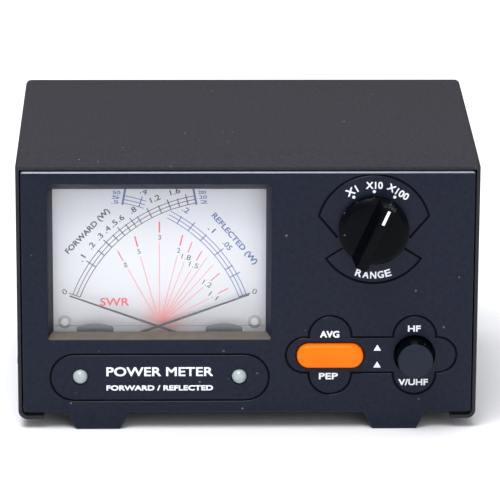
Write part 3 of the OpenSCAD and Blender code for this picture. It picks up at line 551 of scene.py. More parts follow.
def add_piece(name, bm, looks, body, replaced=(), sharp=32.0, solid=True):
    """Turns a bmesh in millimetres into a piece that rides with a body, or with none yet."""
    bmesh.ops.remove_doubles(bm, verts=bm.verts, dist=MERGE)
    bmesh.ops.dissolve_degenerate(bm, edges=bm.edges, dist=MERGE)
    if solid:
        bmesh.ops.recalc_face_normals(bm, faces=bm.faces)
    if not bm.faces:
        raise RuntimeError(f"{name} has no faces")
    bm.transform(TO_FRAME)
    mesh = bpy.data.meshes.new(name)
    bm.to_mesh(mesh)
    bm.free()
    mesh.polygons.foreach_set("use_smooth", [True] * len(mesh.polygons))
    mesh.set_sharp_from_angle(angle=math.radians(sharp))
    for look in looks:
        mesh.materials.append(material(look))
    piece = bpy.data.objects.new(name, mesh)
    bpy.context.scene.collection.objects.link(piece)
    if body:
        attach(piece, body)
    if replaced:
        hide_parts(*replaced)
    return piece


# ---------------------------------------------------------------- surfaces


def new_group(name, inputs, outputs):
    """An empty shader node group with named sockets."""
    tree = bpy.data.node_groups.new(name, "ShaderNodeTree")
    for label, kind, value in inputs:
        socket = tree.interface.new_socket(label, in_out="INPUT", socket_type=kind)
        if value is not None:
            socket.default_value = value
    for label, kind in outputs:
        tree.interface.new_socket(label, in_out="OUTPUT", socket_type=kind)
    return tree, tree.nodes.new("NodeGroupInput"), tree.nodes.new("NodeGroupOutput")


def maths(tree, operation, a, b, clamp=False):
    """A maths node on two sockets or numbers."""
    node = tree.nodes.new("ShaderNodeMath")
    node.operation = operation
    node.use_clamp = clamp
    for socket, value in zip(node.inputs, (a, b)):
        if isinstance(value, bpy.types.NodeSocket):
            tree.links.new(value, socket)
        else:
            socket.default_value = value
    return node.outputs["Value"]


def blended(tree, factor, first, second):
    """A colour between two others."""
    node = tree.nodes.new("ShaderNodeMix")
    node.data_type = "RGBA"
    tree.links.new(factor, node.inputs["Factor"])
    tree.links.new(first, node.inputs["A"])
    tree.links.new(second, node.inputs["B"])
    return node.outputs["Result"]


def noise_value(tree, vector, scale, detail):
    node = tree.nodes.new("ShaderNodeTexNoise")
    node.inputs["Detail"].default_value = detail
    tree.links.new(vector, node.inputs["Vector"])
    tree.links.new(scale, node.inputs["Scale"])
    return node.outputs["Fac"]


def mottle_group():
    """Slow drift between two colours and two degrees of gloss."""
    name = "Mottled tone"
    if name in bpy.data.node_groups:
        return bpy.data.node_groups[name]
    tree, entry, leave = new_group(
        name,
        [("Vector", "NodeSocketVector", None), ("Colour", "NodeSocketColor", None),
         ("Second colour", "NodeSocketColor", None), ("Scale", "NodeSocketFloat", 60.0),
         ("Gloss", "NodeSocketFloat", 0.4), ("Gloss drift", "NodeSocketFloat", 0.1)],
        [("Colour", "NodeSocketColor"), ("Roughness", "NodeSocketFloat")])
    contrast = 2.4
    offset = -0.7
    drift = noise_value(tree, entry.outputs["Vector"], entry.outputs["Scale"], 4.0)
    share = maths(tree, "MULTIPLY_ADD", drift, contrast, True)
    share.node.inputs[2].default_value = offset
    colour = blended(tree, share, entry.outputs["Colour"], entry.outputs["Second colour"])
    tree.links.new(colour, leave.inputs["Colour"])
    swing = maths(tree, "MULTIPLY", share, entry.outputs["Gloss drift"])
    tree.links.new(maths(tree, "ADD", swing, entry.outputs["Gloss"], True), leave.inputs["Roughness"])
    return tree


def grain_group():
    """Fine relief, as on textured paint or moulded plastic."""
    name = "Fine grain"
    if name in bpy.data.node_groups:
        return bpy.data.node_groups[name]
    tree, entry, leave = new_group(
        name,
        [("Vector", "NodeSocketVector", None), ("Scale", "NodeSocketFloat", 1500.0),
         ("Relief", "NodeSocketFloat", 0.2)],
        [("Normal", "NodeSocketVector")])
    bumps = noise_value(tree, entry.outputs["Vector"], entry.outputs["Scale"], 2.0)
    relief = tree.nodes.new("ShaderNodeBump")
    relief.inputs["Distance"].default_value = 0.0002
    tree.links.new(bumps, relief.inputs["Height"])
    tree.links.new(entry.outputs["Relief"], relief.inputs["Strength"])
    tree.links.new(relief.outputs["Normal"], leave.inputs["Normal"])
    return tree


def dust_group():
    """Small pale specks scattered over a colour."""
    name = "Dust specks"
    if name in bpy.data.node_groups:
        return bpy.data.node_groups[name]
    tree, entry, leave = new_group(
        name,
        [("Vector", "NodeSocketVector", None), ("Colour", "NodeSocketColor", None),
         ("Dust", "NodeSocketColor", None), ("Scale", "NodeSocketFloat", 450.0),
         ("Amount", "NodeSocketFloat", 0.1)],
        [("Colour", "NodeSocketColor")])
    cells = tree.nodes.new("ShaderNodeTexVoronoi")
    tree.links.new(entry.outputs["Vector"], cells.inputs["Vector"])
    tree.links.new(entry.outputs["Scale"], cells.inputs["Scale"])
    split = tree.nodes.new("ShaderNodeSeparateColor")
    tree.links.new(cells.outputs["Color"], split.inputs["Color"])
    chosen = maths(tree, "LESS_THAN", split.outputs["Red"], entry.outputs["Amount"])
    size = maths(tree, "MULTIPLY", split.outputs["Green"], 0.3)
    near = maths(tree, "LESS_THAN", cells.outputs["Distance"], size)
    strength = maths(tree, "MULTIPLY", chosen, split.outputs["Blue"])
    share = maths(tree, "MULTIPLY", strength, near)
    colour = blended(tree, share, entry.outputs["Colour"], entry.outputs["Dust"])
    tree.links.new(colour, leave.inputs["Colour"])
    return tree


def painted_glow_group():
    """A soft round tone about a point, fading outwards."""
    name = "Soft blush"
    if name in bpy.data.node_groups:
        return bpy.data.node_groups[name]
    tree, entry, leave = new_group(
        name,
        [("Vector", "NodeSocketVector", None), ("Centre", "NodeSocketVector", None),
         ("Reach", "NodeSocketFloat", 0.02), ("Colour", "NodeSocketColor", None),
         ("Tone", "NodeSocketColor", None)],
        [("Colour", "NodeSocketColor")])
    away = tree.nodes.new("ShaderNodeVectorMath")
    away.operation = "DISTANCE"
    tree.links.new(entry.outputs["Vector"], away.inputs[0])
    tree.links.new(entry.outputs["Centre"], away.inputs[1])
    share = maths(tree, "DIVIDE", away.outputs["Value"], entry.outputs["Reach"], True)
    fade = maths(tree, "POWER", maths(tree, "SUBTRACT", 1.0, share, True), 1.8)
    colour = blended(tree, fade, entry.outputs["Colour"], entry.outputs["Tone"])
    tree.links.new(colour, leave.inputs["Colour"])
    return tree


def put_group(tree, group, vector, **values):
    """A group in a material, its sockets set by name or linked."""
    node = tree.nodes.new("ShaderNodeGroup")
    node.node_tree = group
    tree.links.new(vector, node.inputs["Vector"])
    for key, value in values.items():
        socket = node.inputs[key.replace("_", " ").capitalize()]
        if isinstance(value, bpy.types.NodeSocket):
            tree.links.new(value, socket)
        elif socket.type == "RGBA":
            socket.default_value = (*value[:3], 1.0)
        else:
            socket.default_value = value
    return node


def toned(colour, factor):
    return tuple(min(1.0, channel * factor) for channel in colour[:3])


def grey(level):
    return (level, level, level)


def look_table():
    """What each surface is made of, by name."""
    f = bpy.context.scene.meter_finish
    return {
        "cover paint": dict(
            colour=f.cover, gloss=0.7, spec=0.06,
            grain=1500.0, relief=0.9, dust=0.02, drift=1.5, size=900.0),
        "panel plastic": dict(
            colour=f.panel, gloss=0.3, spec=0.17,
            grain=1300.0, relief=0.3, dust=0.05, drift=1.9, size=700.0),
        # Painted highlight on the panel's rounded top edge, for the light falling on it from above.
        "panel edge painted highlight": dict(colour=f.edge, gloss=0.3, grain=1300.0, relief=0.15, drift=1.3, size=400.0),
        # Painted shadow: the engraved lines take the knob's near-black, darker than the panel plastic they
        # are cut in, for the shadow inside them.
        "panel groove painted shadow": dict(
            colour=f.knob, gloss=0.5, spec=0.06,
            grain=1300.0, relief=0.1, drift=1.3, size=300.0),
        # Painted highlight on the window's lower slope.
        "window ledge": dict(
            colour=f.ledge_highlight, gloss=0.4, spec=0.4,
            grain=1300.0, relief=0.2, drift=1.3, size=300.0),
        "knob plastic": dict(
            colour=f.knob, gloss=0.2, spec=0.06,
            grain=900.0, relief=0.03, dust=0.02, size=90.0),
        "button plastic": dict(
            colour=f.button, gloss=0.42, spec=0.15,
            grain=2200.0, relief=0.15, dust=0.02, size=400.0),
        "orange plastic": dict(
            colour=f.orange, gloss=0.33, spec=0.14,
            grain=1800.0, relief=0.05, drift=0.93, size=70.0),
        "white print": dict(colour=f.legend, gloss=0.5, grain=3000.0, relief=0.1, drift=0.92, size=260.0),
        "pointer white": dict(
            colour=f.legend, gloss=0.4,
            grain=3000.0, relief=0.05, drift=0.97, size=200.0),
        "dial ink": dict(colour=f.ink, gloss=0.6, grain=4000.0, relief=0.05, drift=1.5, size=500.0),
        "dial blue": dict(colour=f.blue, gloss=0.6, grain=4000.0, relief=0.05, drift=1.3, size=500.0),
        "dial red": dict(colour=f.red, gloss=0.6, grain=4000.0, relief=0.05, drift=1.12, size=500.0),
        "dial pink": dict(colour=f.pink, gloss=0.6, grain=4000.0, relief=0.05, drift=1.08, size=500.0),
        # Grey for a printed line and for painted shadows round the dial's screw heads.
        "dial grey print and shadow": dict(colour=grey(0.36), gloss=0.5, grain=3000.0, relief=0.05, drift=1.3, size=200.0),
        "lamp plastic": dict(colour=f.lamp, gloss=0.2, grain=900.0, relief=0.12, drift=0.8, size=300.0),
        "black screws": dict(
            colour=grey(0.035), gloss=0.3, metal=0.6,
            grain=1500.0, relief=0.1, size=200.0),
        "zinc screws": dict(
            colour=(0.6, 0.61, 0.62), gloss=0.28, metal=1.0,
            grain=900.0, relief=0.08, size=160.0),
        "bridge metal": dict(
            colour=(0.16, 0.16, 0.17), gloss=0.4, metal=1.0,
            grain=700.0, relief=0.06, size=150.0),
        "tin plate": dict(
            colour=(0.62, 0.62, 0.6), gloss=0.26, metal=1.0,
            grain=300.0, relief=0.06, size=50.0),
        "iron": dict(colour=(0.2, 0.19, 0.19), gloss=0.5, metal=0.8, grain=900.0, relief=0.25, size=150.0),
        "magnet": dict(
            colour=(0.26, 0.26, 0.28), gloss=0.4, metal=0.9,
            grain=600.0, relief=0.2, size=180.0),
        "nickel": dict(
            colour=(0.66, 0.64, 0.6), gloss=0.22, metal=1.0,
            grain=700.0, relief=0.05, size=110.0),
        "brass": dict(colour=(0.72, 0.5, 0.2), gloss=0.3, metal=1.0, grain=900.0, relief=0.08, size=120.0),
        "gold plate": dict(
            colour=(0.86, 0.62, 0.24), gloss=0.22, metal=1.0,
            grain=900.0, relief=0.05, size=150.0),
        "copper wire": dict(
            colour=(0.62, 0.26, 0.13), gloss=0.34, metal=0.9,
            grain=2600.0, relief=0.5, size=300.0),
        "bronze": dict(
            colour=(0.55, 0.33, 0.15), gloss=0.3, metal=1.0,
            grain=900.0, relief=0.06, size=260.0),
        "spring steel": dict(
            colour=(0.45, 0.45, 0.47), gloss=0.28, metal=1.0,
            grain=900.0, relief=0.06, size=220.0),
        "switch metal": dict(
            colour=(0.5, 0.5, 0.49), gloss=0.36, metal=1.0,
            grain=500.0, relief=0.1, size=90.0),
        "needle black": dict(colour=grey(0.03), gloss=0.5, grain=2000.0, relief=0.05, size=150.0),
        "nylon": dict(
            colour=(0.8, 0.8, 0.77), gloss=0.36,
            grain=900.0, relief=0.08, drift=0.92, size=120.0),
        "socket insulator": dict(
            colour=(0.72, 0.7, 0.64), gloss=0.3,
            grain=700.0, relief=0.08, drift=0.9, size=140.0),
        "housing plastic": dict(colour=grey(0.03), gloss=0.45, grain=900.0, relief=0.12, size=70.0),
        "rubber": dict(colour=grey(0.022), gloss=0.72, grain=1300.0, relief=0.4, dust=0.1, size=130.0),
        "jack plastic": dict(colour=grey(0.02), gloss=0.35, grain=1000.0, relief=0.08, size=140.0),
        "circuit board": dict(
            colour=(0.02, 0.12, 0.05), gloss=0.3,
            grain=420.0, relief=0.3, drift=2.2, size=330.0),
        "black wire": dict(colour=grey(0.02), gloss=0.38, grain=900.0, relief=0.05, size=160.0),
        "red wire": dict(colour=(0.5, 0.02, 0.02), gloss=0.36, grain=900.0, relief=0.05, size=160.0),
    }


def material(name):
    """A surface by name, made once."""
    if name in bpy.data.materials:
        return bpy.data.materials[name]
    if name == "dial white":
        return dial_surface(name)
    if name == "clear plastic":
        return clear_surface(name)
    look = look_table()[name]
    made, tree, shader, vector = new_material(name)
    shader.inputs["Metallic"].default_value = look.get("metal", 0.0)
    shader.inputs["Specular IOR Level"].default_value = look.get("spec", 0.5)
    tone = put_group(
        tree, mottle_group(), vector, colour=look["colour"],
        second_colour=toned(look["colour"], look.get("drift", 1.22)),
        scale=look["size"], gloss=look["gloss"], gloss_drift=0.1)
    tree.links.new(tone.outputs["Roughness"], shader.inputs["Roughness"])
    colour = tone.outputs["Colour"]
    if look.get("dust"):
        specks = put_group(
            tree, dust_group(), vector, colour=colour, dust=(0.16, 0.16, 0.16), scale=620.0,
            amount=look["dust"])
        colour = specks.outputs["Colour"]
    tree.links.new(colour, shader.inputs["Base Color"])
    grain = put_group(tree, grain_group(), vector, scale=look["grain"], relief=look["relief"])
    tree.links.new(grain.outputs["Normal"], shader.inputs["Normal"])
    return made


def new_material(name):
    """A material with its shader and the coordinates its patterns use."""
    made = bpy.data.materials.new(name)
    made.use_nodes = True
    tree = made.node_tree
    coordinates = tree.nodes.new("ShaderNodeTexCoord")
    return made, tree, tree.nodes["Principled BSDF"], coordinates.outputs["Object"]


def dial_surface(name):
    """Bright card with a pale red tone round the root of the red lines."""
    f = bpy.context.scene.meter_finish
    m = read("meter_scale")
    made, tree, shader, vector = new_material(name)
    centre = TO_FRAME @ Vector((m.x + 1.4, 10.8, m.root_z + 1.2))
    tone = put_group(
        tree, mottle_group(), vector, colour=f.dial, second_colour=toned(f.dial, 0.97),
        scale=40.0, gloss=0.55, gloss_drift=0.08)
    # Painted glow: the dial's colour turns pink towards the root of the red lines, for a pool of light
    # there.
    painted_glow = put_group(
        tree, painted_glow_group(), vector, centre=centre, reach=0.012,
        colour=tone.outputs["Colour"], tone=f.painted_glow)
    tree.links.new(painted_glow.outputs["Colour"], shader.inputs["Base Color"])
    tree.links.new(tone.outputs["Roughness"], shader.inputs["Roughness"])
    grain = put_group(tree, grain_group(), vector, scale=2500.0, relief=0.05)
    tree.links.new(grain.outputs["Normal"], shader.inputs["Normal"])
    return made


def clear_surface(name):
    """Clear styrene, thin enough that light passes straight through."""
    made, tree, shader, vector = new_material(name)
    shader.inputs["Alpha"].default_value = 0.07
    tone = put_group(
        tree, mottle_group(), vector, colour=(0.8, 0.84, 0.88), second_colour=(0.72, 0.76, 0.8),
        scale=90.0, gloss=0.04, gloss_drift=0.05)
    tree.links.new(tone.outputs["Colour"], shader.inputs["Base Color"])
    tree.links.new(tone.outputs["Roughness"], shader.inputs["Roughness"])
    return made


LOOK_NODES = {
    "cover paint": ("chassis", "rear_panel"),
    "black screws": ("foot_screws", "panel_screws"),
    "housing plastic": ("meter_housing",),
    "nylon": ("dial_screws", "range_rotor", "peak_plunger", "band_plunger"),
    "bridge metal": ("front_bridges", "rear_bridges"),
    "iron": ("magnet_yokes",),
    "magnet": ("core_magnets",),
    "zinc screws": ("meter_screws", "board_screws", "range_washer", "dc_jack_nut"),
    "needle black": ("forward_needle", "reflected_needle"),
    "copper wire": ("forward_coil", "reflected_coil"),
    "bronze": ("forward_hairspring", "reflected_hairspring"),
    "circuit board": ("led_board", "front_board", "coupler_boards"),
    "brass": ("board_standoffs", "range_nut", "through_lines"),
    "switch metal": ("range_shaft", "range_switch", "peak_switch", "band_switch"),
    "tin plate": ("coupler_boxes", "coupler_lids"),
    "socket insulator": ("socket_insulators",),
    "gold plate": ("socket_contacts",),
    "jack plastic": ("dc_jack",),
    "nickel": ("dc_jack_pin",),
    "black wire": ("coupler_leads",),
    "red wire": ("meter_leads", "power_leads"),
}


# ---------------------------------------------------------------- pieces


def drop_at(c, y):
    """How far the cover's top has dropped at a depth, with a soft fold where the slope starts."""
    slope = c.drop / (c.brow - c.front)
    half = c.fold / 2.0
    ahead = c.brow - y
    if ahead <= -half:
        return 0.0
    if ahead >= half:
        return slope * ahead
    return slope * (ahead + half) ** 2 / (2.0 * c.fold)


def cover_section(c, y):
    """The cover's closed section at a depth: its outside and back along its inside."""
    half = c.width / 2.0
    fall = drop_at(c, y)
    corner = CHORD + 2

    def skin(inset):
        side = half - inset
        low = c.bottom + inset
        high = c.top - inset
        low_r = c.bottom_radius - inset
        top_r = max(c.top_radius - inset, 0.5)
        path = [(-half + c.lip, low)]
        path += arc(-side + low_r, low + low_r, low_r, 270.0, 180.0, corner)
        path += arc(-side + top_r, high - top_r, top_r, 180.0, 90.0, corner)
        path += arc(side - top_r, high - top_r, top_r, 90.0, 0.0, corner)
        path += arc(side - low_r, low + low_r, low_r, 0.0, -90.0, corner)
        path += [(half - c.lip, low)]
        return [(x, min(z, high - fall)) for x, z in path]

    return (skin(0.0) + skin(c.sheet)[::-1])[::-1]


class METER_OT_cover(bpy.types.Operator):
    """Bend the painted sheet-steel cover, with the band that slopes to its front."""

    bl_idname = "meter.cover"
    bl_label = "Cover"

    def execute(self, context):
        c = read("meter_case")
        bm = bmesh.new()
        half = c.fold / 2.0
        folds = [c.brow + half * k / 3.0 for k in range(-3, 4)]
        rings = walls(bm, *[(cover_section(c, y), y) for y in [c.front, *folds, c.depth]])
        fill(bm, rings[0])
        fill(bm, rings[-1])
        bmesh.ops.bevel(
            bm, geom=rim(bm, rings[0]) + rim(bm, rings[-1]), offset=c.edge, segments=2, profile=0.5,
            affect="EDGES", material=-1, clamp_overlap=True)
        add_piece("painted_cover", bm, ["cover paint"], "case", ["cover"], sharp=28.0)
        return {"FINISHED"}


def panel_outline(p):
    """The panel's outline, with the two tabs that reach the floor."""
    half = p.width / 2.0
    corner = 1.0
    loop = rounded(-half, half, p.low, p.high, corner)
    first = loop[:CHORD + 1]
    rest = loop[CHORD + 1:]
    tabs = []
    for x in (p.left_tab, p.right_tab):
        tabs += [
            (x - p.tab_top / 2.0, p.low), (x - p.tab_bottom / 2.0, 0.0),
            (x + p.tab_bottom / 2.0, 0.0), (x + p.tab_top / 2.0, p.low),
        ]
    return rest[-CHORD - 1:] + tabs + first + rest[:-CHORD - 1]


def window_loops(p, m):
    """The window's outline at the face and behind its slopes."""
    face = rounded(
        m.x - p.window_width / 2.0, m.x + p.window_width / 2.0, p.window_low, p.window_high, 0.7)
    inner = rounded(
        m.x - p.inner_width / 2.0, m.x + p.inner_width / 2.0, p.inner_low, p.inner_high, 0.4)
    return face, inner


class METER_OT_fascia(bpy.types.Operator):
    """Mould the front panel with its window, holes and engraved outlines."""

    bl_idname = "meter.fascia"
    bl_label = "Front panel"

    def execute(self, context):
        p = read("meter_panel")
        m = read("meter_scale")
        c = read("meter_controls")
        bm = bmesh.new()
        back = p.thick
        outline = panel_outline(p)
        path = []
        for k in range(4):
            a = math.radians(30.0 * k)
            inset = grown(outline, -p.edge * (1.0 - math.sin(a)))
            path.append((inset, p.edge * (1.0 - math.cos(a))))
        edge = walls(bm, *path, (outline, back))

        face, inner = window_loops(p, m)
        window = walls(
            bm, (grown(face, p.chamfer), 0.0), (face, p.chamfer), (inner, p.window_deep),
            (grown(face, 1.3), p.window_deep), (grown(face, 1.3), back))

        key_gap = 0.4
        lamp_radius = 2.7
        button_radius = 7.0
        shaft_radius = 4.8
        holes = [
            circle(m.x - p.lamp_dx, p.lamp_z, lamp_radius, 48),
            circle(m.x + p.lamp_dx, p.lamp_z, lamp_radius, 48),
            stadium(c.peak_x, c.button_z, KEY_WIDTH + 2 * key_gap, KEY_HIGH + 2 * key_gap),
            circle(c.band_x, c.button_z, button_radius),
            circle(c.knob_x, c.knob_z, shaft_radius, 48),
        ]
        lamp_left, lamp_right, key_hole, button_hole, shaft_hole = [
            pocket(bm, loop, p.chamfer, back) for loop in holes]

        grooves = []
        for loop in (stadium(m.x, p.plate_z, p.plate_width, p.plate_high), cluster(c)):
            outside = pocket(bm, loop, p.chamfer, p.groove_deep)
            inside = pocket(bm, grown(loop, -p.groove), -p.chamfer, p.groove_deep)
            fill(bm, outside[-1], inside[-1])
            grooves.append((outside[0], inside[0]))
        plate, cluster_groove = grooves
        lines = []
        for loop in knob_lines(c, p.groove):
            cut = pocket(bm, loop, p.chamfer, p.groove_deep)
            fill(bm, cut[-1])
            lines.append(cut[0])

        fill(bm, edge[0], window[0], plate[0], cluster_groove[0], *lines, shaft_hole[0])
        fill(bm, plate[1], lamp_left[0], lamp_right[0])
        fill(bm, cluster_groove[1], key_hole[0], button_hole[0])
        fill(bm, edge[-1], window[-1], lamp_left[-1], lamp_right[-1], key_hole[-1],
             button_hole[-1], shaft_hole[-1])

        half = p.width / 2.0
        skirt = rounded(-half, half, p.low, p.high, 1.0)
        inside = grown(skirt, -p.rim_thick)
        near = back - 0.1
        walls(bm, (skirt, near), (skirt, p.rim), (inside, p.rim), (inside, near), (skirt, near))
        foot_high = 3.3
        reach = p.tab_bottom / 2.0
        for x in (p.left_tab, p.right_tab):
            foot = [(x - reach, 0.0), (x + reach, 0.0), (x + reach, foot_high), (x - reach, foot_high)]
            slab(bm, foot, near, p.tab_deep)
        looks = ["panel plastic", "window ledge", "panel edge painted highlight", "panel groove painted shadow"]
        for face in bm.faces:
            middle = face.calc_center_median()
            # Painted highlight: the faces of the window's lower slope take the light brownish colour.
            if p.chamfer < middle.y < p.window_deep and p.window_low < middle.z < p.inner_low:
                face.material_index = looks.index("window ledge")
            # Painted highlight: the upper faces of the panel's rounded top edge take the light edge colour.
            if middle.y < p.edge and middle.z > p.high - 0.6 * p.edge:
                face.material_index = looks.index("panel edge painted highlight")
            # Painted shadow: the walls and floors of the engraved lines take the near-black colour.
            inside = abs(middle.x) < half - p.edge and p.low + p.edge < middle.z < p.high - p.edge
            if inside and p.chamfer < middle.y < p.groove_deep + MERGE:
                face.material_index = looks.index("panel groove painted shadow")
        add_piece("moulded_panel", bm, looks, "case", ["front_panel"], sharp=24.0)
        return {"FINISHED"}


class METER_OT_legends(bpy.types.Operator):
    """Print the panel's and the back's generic legends."""

    bl_idname = "meter.legends"
    bl_label = "Legends"

    def execute(self, context):
        m = read("meter_scale")
        c = read("meter_controls")
        s = read("meter_sockets")
        case = read("meter_case")
        y = -0.02
        knob_words = 15.25
        range_word = 16.15
        letter_step = 8.8
        dot = 0.55
        bm = bmesh.new()
        for text, x, z, width, high in (
            ("AVG", 27.7, 33.9, 6.5, 2.4), ("PEP", 27.4, 19.0, 6.4, 2.3),
            ("HF", 56.2, 35.9, 4.3, 2.2), ("V/UHF", 56.1, 16.8, 10.0, 2.3),
            ("POWER METER", m.x, 20.7, 36.0, 3.3), ("FORWARD / REFLECTED", m.x, 14.9, 36.0, 1.9),
        ):
            lettering(bm, text, spot(x, y, z), width, high)
        for text, width, lean in (("X1", 4.1, c.step - 2.0), ("X10", 5.6, 0.0), ("X100", 7.8, -c.step)):
            a = math.radians(lean)
            x = c.knob_x - knob_words * math.sin(a)
            place = spot(x, y, c.knob_z + knob_words * math.cos(a), lean)
            lettering(bm, text, place, width, 2.5, weight=0.07)
        for k in (-1, 0, 1):
            a = math.radians(k * c.step)
            x = c.knob_x + c.dots * math.sin(a)
            flat(bm, circle(x, c.knob_z + c.dots * math.cos(a), dot, 20), y)
        word = "RANGE"
        for k, letter in enumerate(word):
            lean = (k - (len(word) - 1) / 2.0) * letter_step
            a = math.radians(lean)
            x = c.knob_x + range_word * math.sin(a)
            place = spot(x, y, c.knob_z - range_word * math.cos(a), lean)
            lettering(bm, letter, place, 2.1, 2.5, weight=0.08)
        for z in (29.1, 23.1):
            flat(bm, [(42.55, z - 1.05), (45.1, z - 1.05), (43.83, z + 1.1)], y)
        add_piece("panel_print", bm, ["white print"], "case", solid=False)

        bm = bmesh.new()
        behind = Matrix.Translation((0.0, case.depth + 0.02, 0.0)) @ Matrix.Rotation(math.pi, 4, "Z")
        for text, x, z, width in (
            ("V/UHF", s.far - 16.0, s.z + 22.0, 14.0), ("HF", 16.0 - s.far, s.z + 22.0, 6.0),
            ("ANT", s.far, s.z + 16.5, 8.0), ("TX", s.near, s.z + 16.5, 5.0),
            ("ANT", -s.near, s.z + 16.5, 8.0), ("TX", -s.far, s.z + 16.5, 5.0),
            ("DC 12V", 0.0, s.jack_z - 9.0, 11.0),
        ):
            lettering(bm, text, behind @ spot(x, 0.0, z), width, 2.6)
        add_piece("back_print", bm, ["white print"], "case", solid=False)
        return {"FINISHED"}


def scale_point(m, side, radius, share):
    """A point on a scale. Side 1 is the left-hand scale, about the right-hand pivot."""
    lean = math.radians(m.rest - m.sweep * share)
    return (m.x + side * (m.pivot_dx - radius * math.sin(lean)), m.pivot_z + radius * math.cos(lean))


def scale_arc(m, side, radius, first, last, count=48):
    return [scale_point(m, side, radius, first + (last - first) * k / count) for k in range(count + 1)]


class METER_OT_dial(bpy.types.Operator):
    """Cut the dial plate and print its scales."""

    bl_idname = "meter.dial"
    bl_label = "Dial"

    def execute(self, context):
        m = read("meter_scale")
        front = 10.8
        thick = 0.6
        half = 37.8
        low = 31.3
        high = 84.45
        bm = bmesh.new()
        plate = rounded(m.x - half, m.x + half, low, high, 0.8)
        slab(bm, plate, front, front + thick, 0.12, 2)
        add_piece("dial_card", bm, ["dial white"], "case", ["dial_plate"])

        y = front - 0.03
        ink, blue, red, pink, grey_print_and_shadow = range(5)
        bm = bmesh.new()
        self.scales(bm, m, y, ink, blue)
        self.fan(bm, m, y, ink, red, pink)
        for text, x, z, width, high, lean, index in (
            ("FORWARD (W)", -53.7, 66.9, 20.6, 2.6, 47.0, ink),
            ("REFLECTED (W)", -4.4, 64.2, 22.6, 2.6, -50.0, blue),
            ("SWR", -44.85, 42.0, 9.9, 2.9, 0.0, red),
        ):
            lettering(bm, text, spot(x, y, z, lean), width, high, index, 0.07)
        # A thin grey printed line near the lower edge of the dial's print.
        line_half = 35.6
        line_z = 33.5
        flat(bm, ribbon([(m.x - line_half, line_z), (m.x + line_half, line_z)], 0.3), y, grey_print_and_shadow)
        # Painted shadow: grey discs on the dial round the two screw heads, for the shadow they cast on it.
        ring_dx = 32.2
        ring_z = 34.9
        ring_radius = 2.4
        for side in (-1, 1):
            flat(bm, circle(m.x + side * ring_dx, ring_z, ring_radius, 32), y, grey_print_and_shadow)
        looks = ["dial ink", "dial blue", "dial red", "dial pink", "dial grey print and shadow"]
        add_piece("dial_print", bm, looks, "case", solid=False)
        return {"FINISHED"}

    def scales(self, bm, m, y, ink, blue):
        """Both power scales, with their ticks, numbers and brackets."""
        radii = [m.arc - m.arc_gap * k for k in range(3)]
        gap_in = 0.705
        gap_out = 0.865
        for radius in radii:
            flat(bm, ribbon(scale_arc(m, 1, radius, 0.0, 1.0), m.line), y, ink)
            flat(bm, ribbon(scale_arc(m, -1, radius, 0.0, gap_in, 36), m.line), y, blue)
            flat(bm, ribbon(scale_arc(m, -1, radius, gap_out, 1.0, 12), m.line), y, blue)
        for side, marks, full, index in (
            (1, (0.1, 0.2, 0.3, 0.4, 0.5, 0.6, 0.7, 0.8, 1.0, 1.2, 1.4, 1.6, 1.8), m.forward_full, ink),
            (-1, (0.01, 0.02, 0.05, 0.1, 0.15, 0.2, 0.4), m.reflected_full, blue),
        ):
            for k, mark in enumerate(marks):
                share = math.sqrt(mark / full)
                outer = m.arc + (1.2 if k % 2 == 0 else 0.3)
                tick = [scale_point(m, side, outer, share), scale_point(m, side, radii[-1], share)]
                flat(bm, ribbon(tick, 0.34), y, index)
        for side, labels, full, index in (
            (1, (".1", ".2", ".3", ".4", ".5", ".6", ".8", "1.2", "1.6"), m.forward_full, ink),
            (-1, (".05", ".1", ".2", ".4"), m.reflected_full, blue),
        ):
            for label in labels:
                share = math.sqrt(float(label) / full)
                x, z = scale_point(m, side, m.arc + 3.0, share)
                lean = side * (m.rest - m.sweep * share)
                lettering(bm, label, spot(x, y, z, lean), 1.15 * len(label), 1.95, index, 0.04)
        for side in (1, -1):
            x, z = scale_point(m, side, m.arc + 3.0, 0.0)
            lettering(bm, "0", spot(x, y, z, side * m.rest * 0.3), 1.5, 2.0, ink, 0.0)
            stop = [scale_point(m, side, m.arc + 1.4, 0.0), scale_point(m, side, radii[-1], 0.0)]
            flat(bm, ribbon(stop, 0.3), y, ink)
            end = [scale_point(m, side, m.arc + 2.6, 1.0), scale_point(m, side, radii[-1] - 0.6, 1.0)]
            flat(bm, ribbon(end, 0.7), y, blue)
            for k, label in enumerate(("200", "20", "2") if side == 1 else ("50", "5", ".5")):
                x, z = scale_point(m, side, m.arc + 1.2 - 1.7 * k, 1.0)
                lettering(bm, label, spot(x + side * 2.7, y, z), 2.6, 1.2, blue, 0.03)

    def fan(self, bm, m, y, ink, red, pink):
        """The red lines, each with its reading."""
        root = Vector((m.x, m.root_z))
        for label, lean in (
            ("∞", 28.4), ("5", 14.9), ("3", 0.0), ("2", -13.8), ("1.8", -20.6), ("1.5", -28.7),
            ("", -34.0), ("", -40.5), ("1.2", -48.1), ("1.1", -60.9),
        ):
            a = math.radians(lean)
            way = Vector((-math.sin(a), math.cos(a)))
            side = 1.0 if lean > 0 else -1.0
            pivot = Vector((m.x + side * m.pivot_dx, m.pivot_z))
            offset = root - pivot
            along = way.dot(offset)
            reach = -along + math.sqrt(along ** 2 - offset.length_squared + m.fan ** 2)
            dash = 3.9 if label else 0.0
            gap = 3.0 if label else 0.0
            start = 1.5 + 0.03 * abs(lean)
            bold = 0.5 if abs(lean) < 20.0 else 0.34
            if label:
                top = [root + way * (reach - dash), root + way * reach]
                flat(bm, ribbon(top, bold), y, red)
                middle = root + way * (reach - dash - gap / 2.0 - 0.2)
                width = 1.05 * len(label)
                lettering(bm, label, spot(*middle[:1], y, middle[1], lean * 0.6), width, 1.8, ink, 0.0)
            path = [root + way * start, root + way * (reach - dash - gap - 0.4 * bool(label))]
            flat(bm, ribbon(path, 0.26), y, pink)


